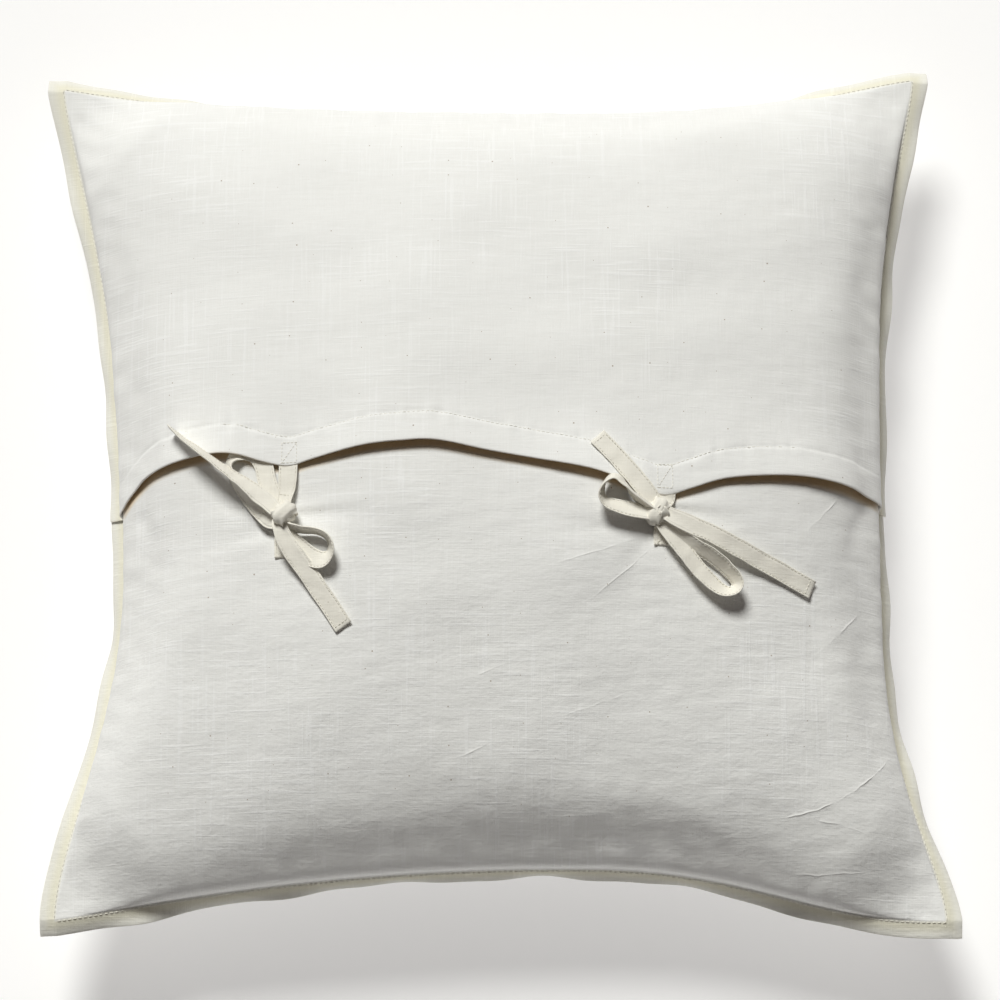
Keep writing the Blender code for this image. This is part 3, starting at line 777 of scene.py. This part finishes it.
def seam_mark(out):
    """1 at the flange's root, 0.4 at its edge, and 0 on the body: the share above the edge's is painted shade
    beside the body.
    """
    return np.clip(out / 0.002, 0, 1) * (1.0 - 0.6 * smooth_step((out - 0.003) / 0.008))


def make_face_panel():
    columns = with_flange(both_ways(0.27, FACE_CELL), True, True)
    rows = with_flange(both_ways(MID_SPAN, FACE_CELL), True, True)
    u, v, out, points = lay_out(columns, rows[:, :1], rows[:, 1], -1)
    inward = np.minimum(1 - np.abs(u), 1 - np.abs(v))
    x, y = points[..., 0], points[..., 1]
    normals = -upward(points)
    raised = 0.0010 * ripples(x, y, 0.09, 41) + 0.0005 * np.exp(-inward / 0.06) * ripples(x, y, 0.022, 42)
    outer = points + normals * (raised * np.minimum(1, inward * 6))[..., None]
    outer[..., 2] = np.maximum(outer[..., 2], 0.0)
    inner = outer - normals * COVER_CLOTH
    inner[..., 2] = np.maximum(inner[..., 2], COVER_CLOTH)
    made = shell("face_cloth", outer, inner, flip=True)
    mark(made, "seam", seam_mark(out))
    dress(made, COVER, "natural_cotton", "cushion", "face_panel")


def make_lower_panel():
    columns = with_flange(both_ways(0.27, CELL), True, True)
    past_edge = edge_v(columns[:, 0])[:, None] + 0.03
    near = 1 - spread_lines(MID_SPAN, CELL)[::-1]
    shown = -1 + near * (past_edge + 1)
    hidden = past_edge + np.linspace(0, 1, 14)[1:] * (UNDERLAP / MID_SPAN - 0.03)
    body_rows = np.concatenate([shown, hidden], axis=1).T
    flange = with_flange(np.array([-1.0]), True, False)[:-1]
    v_rows = np.concatenate([np.repeat(flange[:, :1], len(columns), axis=1), body_rows])
    out_rows = np.concatenate([flange[:, 1], np.zeros(len(body_rows))])
    u, v, out, points = lay_out(columns, v_rows, out_rows, 1)
    inward = np.minimum(1 - np.abs(u), np.abs(v + 1))
    x, y = points[..., 0], points[..., 1]
    normals = upward(points)
    under = smooth_step((y - edge_y(x)) / 0.012 + 0.6)
    raised = relief(x, y, inward) * (1 - 0.7 * under) - 0.0012 * under * np.minimum(1, inward * 6)
    outer = points + normals * (raised * np.minimum(1, inward * 40))[..., None]
    inner = outer - normals * COVER_CLOTH
    made = shell("lower_back_cloth", outer, inner)
    mark(made, "seam", seam_mark(out))
    # Painted shade: the lower panel is tinted from 6.5 mm before the flap's edge on under it, where the edge
    # shades it.
    mark(made, "under_flap_shade", smooth_step((y - edge_y(x) + 0.0065) / 0.004) * smooth_step(inward / 0.03))
    dress(made, COVER, "natural_cotton", "cushion", "back_lower_panel")


def make_flap_panel():
    columns = with_flange(both_ways(0.27, CELL), True, True)
    in_hem = edge_v(columns[:, 0])[:, None] + np.arange(22) * MM / MID_SPAN
    last = in_hem[:, -1:]
    beyond = last + (1 - last) * spread_lines(0.26, CELL)[1:]
    body_rows = np.concatenate([in_hem, beyond], axis=1).T
    flange = with_flange(np.array([1.0]), False, True)[1:]
    v_rows = np.concatenate([body_rows, np.repeat(flange[:, :1], len(columns), axis=1)])
    out_rows = np.concatenate([np.zeros(len(body_rows)), flange[:, 1]])
    u, v, out, points = lay_out(columns, v_rows, out_rows, 1)
    inward = np.minimum(1 - np.abs(u), np.abs(1 - v))
    x, y = points[..., 0], points[..., 1]
    normals = upward(points)
    rise = flap_rise(x, y, inward)
    raised = relief(x, y, inward) * np.minimum(1, inward * 40) + rise
    outer = points + normals * raised[..., None]
    thick = COVER_CLOTH + HEM_FOLD * hem_share(y - edge_y(x), inward)
    inner = outer - normals * thick[..., None]
    made = shell("flap_cloth", outer, inner)
    mark(made, "seam", seam_mark(out))
    # Painted shade: the flap's underside is tinted, and its rim a fifth as much, where it lies in its own
    # shade.
    under_flap_shade = np.full(len(made.data.vertices), 0.2)
    under_flap_shade[: x.size] = 0.0
    under_flap_shade[x.size : 2 * x.size] = smooth_step(inward / 0.03).ravel()
    mark(made, "under_flap_shade", under_flap_shade)
    dress(made, COVER, "natural_cotton", "cushion", "back_flap_panel")


# ---- The pad inside ----


def pad_grid(side, inset, cell=0.008):
    """A side of the pad, this far inside the cover: its points are drawn in and sunk a little.

    Its corners are rounded, so that they end short of the cover's.
    """
    lines = both_ways(0.27, cell)
    u, v = np.meshgrid(lines, lines)
    points = body(u * np.sqrt(1 - 0.17 * v * v), v * np.sqrt(1 - 0.17 * u * u), side)
    points[..., 2] = body(u, v, side)[..., 2] - side * COVER_CLOTH
    shrink = 1 - (inset + 0.006) / 0.31
    points[..., :2] *= shrink
    points[..., 2] = SEAM_HEIGHT + (points[..., 2] - SEAM_HEIGHT) * (1 - (inset + 0.0012) / 0.08)
    points[..., 2] -= side * 0.0016 * puff(u, v)
    floor = COVER_CLOTH + LAYER_GAP + inset
    lumps = 0.0009 * ripples(points[..., 0], points[..., 1], 0.05, 50 + side) * puff(u, v)
    points[..., 2] = np.maximum(points[..., 2] - np.abs(lumps) * side, floor)
    return points


def make_pad():
    for side, name in ((1, "upper_casing"), (-1, "lower_casing")):
        outer = pad_grid(side, 0.0)
        normals = upward(outer) * side
        outer[..., 2] += side * (CASING_CLOTH + SEAM_GAP / 2) * 0.5
        inner = outer - normals * CASING_CLOTH
        made = shell(name, outer, inner, flip=side < 0)
        dress(made, LINING, "lining_cotton", "cushion", "insert_" + name)
    top, base = pad_grid(1, 0.0022), pad_grid(-1, 0.0022)
    rows, columns = top.shape[:2]
    count = rows * columns
    index = np.arange(count).reshape(rows, columns)
    base_index = index + count
    edge = np.zeros((rows, columns), bool)
    edge[[0, -1]] = edge[:, [0, -1]] = True
    base_index[edge] = index[edge]
    top[edge, 2] = base[edge, 2] = SEAM_HEIGHT
    faces = np.concatenate([grid_quads(index), grid_quads(base_index)[:, ::-1]])
    points = np.concatenate([top.reshape(-1, 3), base.reshape(-1, 3)])
    used, faces = np.unique(faces, return_inverse=True)
    made = piece("pad_filling", points[used], faces.reshape(-1, 4))
    dress(made, FIBRE, "polyester_fibre", "cushion", "fibre_filling")


# ---- Stitches ----


def stitch_run(name, line, up, long, gap, thick, body_name, nodes=()):
    """Separate stitches along a line: each a bead that arches up in its middle and tapers at its ends.

    Around a stitch's middle line, a ring of points has the radius thick/2 times √(1 - a²), where a is
    -1 to 1 along it, and the middle line rises by a quarter of thick times (1 - a²).
    """
    steps = np.linalg.norm(np.diff(line, axis=0), axis=1)
    along = np.concatenate([[0.0], np.cumsum(steps)])
    count = max(1, int(along[-1] / (long + gap)))
    at = (np.arange(count) + 0.5) * along[-1] / count
    middle, rise = read_along(at, along, line), read_along(at, along, up)
    heading = unit(read_along(at + long / 2, along, line) - read_along(at - long / 2, along, line))
    across = unit(np.cross(rise, heading))
    rise = np.cross(heading, across)
    a = np.array([-0.96, -0.5, 0.0, 0.5, 0.96])
    turns = full_turn(6)
    radius = thick / 2 * np.sqrt(1 - a * a)
    middle, heading, rise, across = (v[:, None, None] for v in (middle, heading, rise, across))
    stretch = heading * (a * long / 2)[:, None, None]
    arch = rise * (thick / 4 * (1 - a * a))[:, None, None]
    upright, sideways = (radius[:, None] * wave(turns) for wave in (np.sin, np.cos))
    ring = rise * upright[..., None] + across * sideways[..., None]
    points = (middle + stretch + arch + ring).reshape(-1, 3)
    outside = np.roll(ring_quads(np.arange(30).reshape(5, 6))[:, ::-1], 1, axis=1)
    caps = np.array([[0, 5, 4, 3], [0, 3, 2, 1], [24, 25, 26, 27], [24, 27, 28, 29]])
    template = np.concatenate([outside, caps])
    faces = (template[None] + 30 * np.arange(count)[:, None, None]).reshape(-1, 4)
    made = piece(name, points, faces)
    return dress(made, THREAD, "cotton_thread", body_name, *nodes)


def on_cover(x, y, height, flap=1.0):
    x, y = np.asarray(x, float), np.asarray(y, float)
    points = np.stack([x, y, tied_side(x, y, flap)], axis=-1)
    up = tied_normals(x, y, flap)
    return points + up * np.asarray(height)[..., None], up


def make_hem_stitch():
    x = np.linspace(-0.262, 0.268, 500)
    y = edge_y(x) + HEM
    line, up = on_cover(x, y, np.full(x.shape, 0.0001))
    stitch_run("hem_stitches", line, up, 0.0026, 0.0007, 0.00042, "cushion", ("flap_hem_stitch",))


def make_flange_stitch():
    """Stitches once round the flange's root, where the droop and the belly of the body leave it seen."""
    t = np.linspace(-1, 1, 700)
    one, out = np.ones(t.shape), 0.0012
    parts = []
    for u, v, out_x, out_y in (
        (t, -one, 0 * t, -out * one),
        (one, t, out * one, 0 * t),
        (-t, one, 0 * t, out * one),
        (-one, -t, -out * one, 0 * t),
    ):
        parts.append(body(u, v, 1) + flange_shift(u, v, out_x, out_y, 1))
    line = np.concatenate(parts)
    up = np.tile([0.0, 0.0, 1.0], (len(line), 1))
    line = line + up * 0.0002
    stitch_run("flange_stitches", line, up, 0.0028, 0.0009, 0.00055, "cushion", ("flange_topstitch",))


# ---- Ties ----


def tape(name, rows, count=90):
    """A flat folded tape along a curve, with rounded edges, a row of stitches near each, and a soft crease.

    The section is a flattened ring: across = ±|cos|^0.45 of half the width, and up = ±|sin|^0.7 of half
    the thickness, thinner along the stitches. It returns the piece, its middle line, its across and up
    directions, and its widths.
    """
    rows = curve_through(rows, 6 * len(rows)) * (MM, MM, MM, 1, MM)
    rows = even_steps(rows, count)
    middle, normal = on_cover(rows[:, 0], rows[:, 1], rows[:, 2], 0.0)
    heading = unit(np.gradient(middle, axis=0))
    level = unit(np.cross(normal, heading))
    normal = np.cross(heading, level)
    roll = np.radians(rows[:, 3])[:, None]
    across = level * np.cos(roll) + normal * np.sin(roll)
    up = np.cross(heading, across)
    turns = full_turn(40)
    side, high = squarish(np.cos(turns), 0.45), squarish(np.sin(turns), 0.7)
    sewn = np.exp(-(((np.abs(side) - 0.80) / 0.05) ** 2))
    width = rows[:, 4][:, None]
    along = np.linspace(0, 1, count)[:, None]
    full = smooth_step((width - 0.006) / 0.008)
    thick = TIE_THICKNESS * (1 - 0.5 * sewn[None, :]) * (1 + 0.7 * (1 - full))
    ends = np.minimum(1.0, np.sqrt(np.clip(np.minimum(along, 1 - along) * count / 1.5, 0.02, 1)))
    cup = (0.10 + 0.5 * (1 - full)) * width / 2 * (side[None, :] ** 2 - 0.4)
    gathers = 0.0003 * np.cos(side[None, :] * 9.0 + along * 4.0) * (1 - full + 0.25)
    wobble = 0.00012 * ripples(along * 0.11, side[None, :] * width, 0.021, len(name))
    lift = high[None, :] * thick / 2 * ends + cup + gathers + wobble
    points = (
        middle[:, None]
        + across[:, None] * (side[None, :] * width / 2 * (1 - 0.015 * (1 - ends)))[..., None]
        + up[:, None] * lift[..., None]
    )
    index = np.arange(count * 40).reshape(count, 40)
    k = np.arange(19)
    first = np.stack([k, k + 1, 38 - k, 39 - k], axis=-1)
    last = first[:, ::-1] + (count - 1) * 40
    made = piece(name, points.reshape(-1, 3), ring_quads(index), first, last)
    return made, middle, across, up, rows[:, 4]


def edge_stitches(name, middle, across, up, width, body_name, end_turn=True, start=0.0, end=0.0):
    """Stitches along both edges of a tape, and across its turned end. Start and end are bare shares of it."""
    shown = slice(int(len(middle) * start), len(middle) - int(len(middle) * end))
    inset = across[shown] * (width[shown] * 0.40)[:, None]
    seat = (middle + up * (TIE_THICKNESS / 2 + 0.0001))[shown]
    one, two, rises = seat + inset, seat - inset, up[shown]
    if end_turn:
        turn = np.linspace(one[-4], two[-4], 8)
        line = np.concatenate([one[:-4], turn, two[:-4][::-1]])
        ups = np.concatenate([rises[:-4], np.repeat(rises[-4:-3], 8, axis=0), rises[:-4][::-1]])
    else:
        line = np.concatenate([one, two[::-1]])
        ups = np.concatenate([rises, rises[::-1]])
    return stitch_run(name, line, ups, 0.0021, 0.0007, 0.00042, body_name)


# Each tie as points of X, Y, height over the lower panel's shape, roll and width, in mm and degrees
LOOSE_ENDS = {
    "left_upper_end": (
        (-142.5, -42, 14.5, 0, 6), (-146.2, -41.8, 11.6, 4, 8), (-153, -34.5, 12.4, 20, 11.5),
        (-162.2, -25.2, 13.4, 36, 13.5), (-171.2, -17.2, 14.5, 52, 13.5),
        (-180.2, -10.4, 15.2, 64, 13.5), (-189.2, -3.6, 15.2, 72, 13.5), (-198.8, 4.4, 14.6, 76, 13.5),
        (-208.2, 12.6, 13.4, 82, 13.5), (-215, 19.2, 12, 92, 13.5), (-221.2, 26.2, 10.8, 102, 13.5),
    ),
    "left_lower_end": (
        (-149, -42, 15, 0, 6), (-147.4, -44, 10.8, 0, 7.5), (-146, -51, 11.2, -10, 10),
        (-143, -59, 10.5, -14, 12.5), (-138, -67.2, 8.8, -10, 13.5), (-131.7, -76, 6.6, -6, 13.5),
        (-125.8, -85.2, 4.6, -2, 13.5), (-119.8, -95, 3.3, 2, 13.5), (-113.2, -104.8, 2.5, 3, 13.5),
        (-106.2, -116, 2.1, 4, 13.5), (-103.2, -120.5, 2.1, 4, 13.5),
    ),
    "right_upper_end": (
        (112, -40, 15, 0, 6), (115.6, -43.8, 12.8, 0, 7), (116, -45.2, 9.2, 0, 8), (112.8, -41, 8, 0, 9),
        (108.2, -33.5, 8.4, 0, 12.5), (102.5, -25.6, 8.4, 0, 13.5), (96, -17.8, 8, 0, 13.5),
        (89.2, -10.2, 7.9, 0, 13.5), (82, -1.8, 7.5, 0, 13.5), (75.6, 5.4, 7, 0, 13.5),
        (70.8, 10.6, 6.6, 0, 13.5),
    ),
    "right_lower_end": (
        (109.2, -40, 15, 0, 6), (113, -41.2, 11, 0, 9), (121.5, -44.8, 11.6, -4, 11.5),
        (132, -48.8, 11.4, -8, 13.5), (144, -53.2, 10.4, -8, 13.5), (157, -58.6, 8.8, -6, 13.5),
        (171, -65, 6.4, -4, 13.5), (185, -71.6, 4.4, -2, 13.5), (199, -78, 3.1, 0, 13.5),
        (212, -84.2, 2.4, 0, 13.5), (221.4, -88.6, 2.2, 0, 13.5),
    ),
}
LOOPS = {
    "left_upper_loop": (
        (-145.5, -42.5, 7, 0, 8), (-149.5, -35, 6.8, 4, 10.5), (-153.5, -25.5, 5.2, 4, 13.5),
        (-157.5, -14.5, 3.6, 2, 13.5), (-160.5, -3.5, 2.6, 0, 13.5), (-165.5, 4, 2.4, 0, 13.5),
        (-173.5, 6.2, 2.6, 4, 12.5), (-180.2, 3, 3.4, 26, 11), (-183.2, -3.6, 5.8, 58, 12.5),
        (-180.8, -11.2, 6.2, 56, 13.5), (-175.2, -19.2, 5.8, 42, 13.5), (-168.2, -28.4, 5.6, 28, 13.5),
        (-160.8, -37.4, 6.6, 18, 13.5), (-153.8, -43.8, 8, 8, 12.5), (-145.5, -44.5, 8, 0, 10),
    ),
    "left_lower_loop": (
        (-147, -44, 8, 40, 8), (-140, -49.5, 8.5, 66, 10), (-131.5, -52.2, 8.5, 78, 13.5),
        (-122.5, -53.8, 8.4, 82, 13.5), (-115, -57.2, 8.2, 76, 13.5), (-111.2, -63.2, 8, 66, 13.5),
        (-111.8, -70.2, 7, 50, 13.5), (-117.5, -73.8, 5.2, 24, 13.5), (-125.8, -70.8, 4.2, 10, 13.5),
        (-134, -63.2, 4.4, 4, 12.5), (-142, -54.5, 5.6, 0, 10), (-147, -47, 6.6, 0, 8),
    ),
    "right_upper_loop": (
        (113, -41, 8.5, 0, 9), (103, -41.4, 8.5, 22, 11), (93.5, -40.2, 7.8, 34, 13.5),
        (84.5, -38.8, 7.5, 38, 13.5), (76.6, -36.2, 7.8, 48, 13.5), (73.7, -30.6, 8.8, 66, 13.5),
        (75.2, -23.8, 10.4, 88, 13.5), (79.8, -19.2, 11.8, 112, 13.5), (84.8, -19.8, 12.2, 122, 13.5),
        (88.8, -24, 11.8, 114, 13.5), (93, -29.2, 11, 100, 12), (98.5, -34.5, 10.4, 88, 10),
        (106, -39, 9.5, 70, 9), (113, -41.5, 8.8, 40, 8),
    ),
    "right_lower_loop": (
        (113, -44, 7, 0, 9), (116.5, -50.5, 6.8, -10, 11.5), (122, -56.8, 6.6, -15, 13.5),
        (130, -66.6, 6.4, -18, 13.5), (140, -79.6, 6.2, -18, 13.5), (148.2, -88, 6.4, -24, 13.5),
        (156, -93.8, 7, -38, 13.5), (163.6, -94.4, 7.8, -58, 13.5), (167.6, -89, 8.2, -66, 13.5),
        (164.3, -82.5, 8, -60, 13.5), (157.2, -75.4, 7.6, -54, 13.5), (148.9, -69.4, 7.2, -50, 13.5),
        (138.3, -63.7, 7, -48, 12.5), (128, -56.2, 7.2, -36, 10), (118, -49, 7.6, -18, 9),
        (113, -44.5, 7.6, 0, 8),
    ),
}
SEWN_TIES = {
    "left_bow_flap_tie": (
        (-142.5, 11, 1.8, 0, 13.5), (-142.6, 1, 2.2, 0, 13.5), (-142.6, -6, 3, 0, 13.5),
        (-142.7, -13, 3.6, 0, 13.5), (-143, -21, 4.4, 0, 12.5), (-144, -30, 5.8, 0, 10),
        (-145, -37, 6.8, 0, 8.5), (-145.5, -42, 7, 0, 8),
    ),
    "left_bow_panel_tie": (
        (-145.8, -70.2, 0.9, 0, 13.5), (-145.8, -64, 1, 0, 13.5), (-145.8, -57.5, 1.6, 0, 13.5),
        (-145.7, -51.5, 3.2, 0, 11.5), (-145.6, -46, 5, 0, 9), (-145.5, -42, 5.8, 0, 8),
    ),
    "right_bow_flap_tie": (
        (119, -8, 1.8, 0, 13.5), (119, -18, 2.2, 0, 13.5), (119, -26.5, 3.2, 0, 13.5),
        (118, -32, 4, 0, 12.5), (115.5, -37, 6.2, 0, 10), (113, -41.5, 7.2, 0, 9),
    ),
    "right_bow_panel_tie": (
        (115.8, -63.6, 0.9, 0, 10.5), (115.8, -59, 1, 0, 10.5), (115.4, -54, 2, 0, 10.5),
        (114.5, -48, 4.5, 0, 9), (113.2, -42.5, 6, 0, 8),
    ),
}


def make_ties():
    for name, rows in LOOSE_ENDS.items():
        side, piece_name = name.split("_", 1)
        made, middle, across, up, width = tape(name + "_tape", rows)
        node = f"{side}_bow_{piece_name}"
        dress(made, TAPE, "tie_cotton", name, node)
        threads = edge_stitches(name + "_stitches", middle, across, up, width, name, start=0.26)
        from_knot = np.hypot(middle[:, 0] - KNOTS[side].x, middle[:, 1] - KNOTS[side].y)
    for name, rows in LOOPS.items():
        side, piece_name = name.split("_", 1)
        made, middle, across, up, width = tape(name + "_tape", rows, count=110)
        dress(made, TAPE, "tie_cotton", name, f"{side}_bow_{piece_name}")
        edge_stitches(name + "_stitches", middle, across, up, width, name, False, 0.12, 0.12)
    for name, rows in SEWN_TIES.items():
        made, middle, across, up, width = tape(name + "_tape", rows, count=60)
        dress(made, TAPE, "tie_cotton", "cushion", name)
        edge_stitches(name + "_edge_stitches", middle, across, up, width, "cushion", False, 0.0, 0.3)


def make_box_stitches():
    """Two stitched rectangles for each bow: one on the flap's hem, one on the sewn end below the knot."""
    spots = {
        "left_bow_flap_tie_stitch": (-0.1428, 0.0035, 0.0052, 0.0072, 0.0002),
        "right_bow_flap_tie_stitch": (0.1190, -0.0150, 0.0052, 0.0085, 0.0002),
        "left_bow_panel_tie_stitch": (-0.1458, -0.0645, 0.0050, 0.0042, 0.0017),
        "right_bow_panel_tie_stitch": (0.1158, -0.0595, 0.0038, 0.0030, 0.0017),
    }
    for node, (x, y, half_x, half_y, height) in spots.items():
        corners = np.array([(-1, -1), (1, -1), (1, 1), (-1, 1), (-1, -1), (1, 1)], float)
        places = np.concatenate([np.linspace(a, b, 12) for a, b in zip(corners[:-1], corners[1:])])
        xs, ys = x + places[:, 0] * half_x, y + places[:, 1] * half_y
        line, up = on_cover(xs, ys, np.full(len(xs), height))
        stitch_run(node + "es", line, up, 0.0021, 0.0006, 0.00045, "cushion", (node,))


def knot_core(name, centre, radius, rise):
    """The inside of a knot: an ellipsoid with a cosine of seven gathers round it, and a fan at each pole."""
    around = 72
    turn, tilt = np.meshgrid(full_turn(around), np.linspace(0.04, math.pi - 0.04, 40))
    x, y, z = np.cos(turn) * np.sin(tilt), np.sin(turn) * np.sin(tilt), np.cos(tilt)
    gathers = 0.055 * np.cos(7 * turn + 2.0 * tilt) * np.sin(tilt) ** 2
    lumps = 0.04 * ripples(x + z, y, 0.9, 61)
    size = np.array([radius * 0.94, radius * 0.94, rise * 0.95])
    points = np.stack([x, y, z], axis=-1) * (1 + gathers + lumps)[..., None] * size
    poles = np.array([[0, 0, 1], [0, 0, -1]]) * size
    index = np.arange(turn.size).reshape(turn.shape)
    top, base, pole = index[0], index[-1], np.full(around, turn.size)
    top_fan = np.stack([pole, top, np.roll(top, -1)], axis=-1)
    base_fan = np.stack([pole + 1, np.roll(base, -1), base], axis=-1)
    points = np.concatenate([points.reshape(-1, 3), poles]) + centre
    return piece(name, points, ring_quads(index), top_fan, base_fan)


def knot_wrap(name, centre, radius, rise, lean):
    """The tape wrapped once over a knot: a folded band round an upright, squarish ellipse."""
    around = full_turn(80)[:, None]
    section = full_turn(28)
    out = np.array([math.cos(lean), math.sin(lean), 0.0])
    along = np.array([-math.sin(lean), math.cos(lean), 0.0])
    top = np.array([0.0, 0.0, 1.0])
    cosine, sine = np.cos(around), np.sin(around)
    ring = out * radius * squarish(cosine, 0.72) + top * rise * squarish(sine, 0.72)
    normal = unit(out * (cosine / radius) + top * (sine / rise))
    wide = squarish(np.cos(section), 0.6)
    half = 0.0060 + 0.0006 * np.cos(2 * around)
    sewn = 0.0005 * np.exp(-(((np.abs(wide) - 0.72) / 0.1) ** 2))
    folds = 0.0006 * np.cos(wide * 6 + 2.2 * around) - sewn
    lift = np.sin(section) * 0.0009 + 0.0004 + folds - 0.0022 * wide**2
    band = ring[:, None] + along * (wide * half)[..., None] + normal[:, None] * lift[..., None] + centre
    index = np.arange(lift.size).reshape(lift.shape)
    return piece(name, band.reshape(-1, 3), ring_quads(np.concatenate([index, index[:1]])))


def make_knots():
    for side, radius, lean in (("left", 0.0080, 40), ("right", 0.0090, 58)):
        centre = np.array(KNOTS[side]) + (0, 0, 0.0008)
        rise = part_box(f"{side}_bow_knot")[1].z - KNOTS[side].z
        core = knot_core(f"{side}_knot_core", centre, radius, rise)
        dress(core, TAPE, "tie_cotton", "cushion", f"{side}_bow_knot")
        wrap = knot_wrap(f"{side}_knot_wrap", centre, radius, rise, math.radians(lean))
        dress(wrap, TAPE, "tie_cotton", "cushion")


# ---- Floor, light and camera ----


def make_stage():
    corners = [(x, y, -0.0003) for x, y in ((-4, -4), (4, -4), (4, 4), (-4, 4))]
    floor = piece("floor", corners, [(0, 1, 2, 3)])
    pale = Work("pale_floor")
    pale.finish((0.62, 0.62, 0.62, 1.0), 0.9)
    pale.fill(pale.shader.inputs["Emission Color"], (1.0, 0.985, 0.97, 1.0))
    pale.fill(pale.shader.inputs["Emission Strength"], 0.42)
    floor.data.materials.append(pale.material)
    world = bpy.data.worlds.new("studio")
    bpy.context.scene.world = world
    world.use_nodes = True
    background = world.node_tree.nodes["Background"].inputs
    background["Color"].default_value = (1.0, 0.90, 0.85, 1.0)
    background["Strength"].default_value = 0.08
    sun = bpy.data.lights.new("key", "SUN")
    sun.energy = 3.0
    sun.angle = math.radians(20)
    sun.color = (0.995, 1.0, 0.965)
    key = bpy.data.objects.new("key", sun)
    bpy.context.collection.objects.link(key)
    towards = Vector((-0.19, 0.57, 0.79))
    key.rotation_euler = towards.to_track_quat("Z", "Y").to_euler()


def make_camera():
    """A long lens looks down at 75 degrees, so that the cushion fills the view."""
    target, distance, width = Vector((0.0042, -0.0053, SEAM_HEIGHT)), 3.2, 0.7175
    back = Vector((0.0, -math.cos(math.radians(75)), math.sin(math.radians(75))))
    camera = bpy.data.cameras.new("camera")
    camera.lens = camera.sensor_width * distance / width
    placed = bpy.data.objects.new("camera", camera)
    placed.location = target + back * distance
    placed.rotation_euler = back.to_track_quat("Z", "Y").to_euler()
    bpy.context.collection.objects.link(placed)
    bpy.context.scene.camera = placed
    bpy.context.scene.view_settings.view_transform = "Standard"


make_camera()
make_face_panel()
make_lower_panel()
make_flap_panel()
make_pad()
make_hem_stitch()
make_flange_stitch()
make_ties()
make_box_stitches()
make_knots()
make_stage()
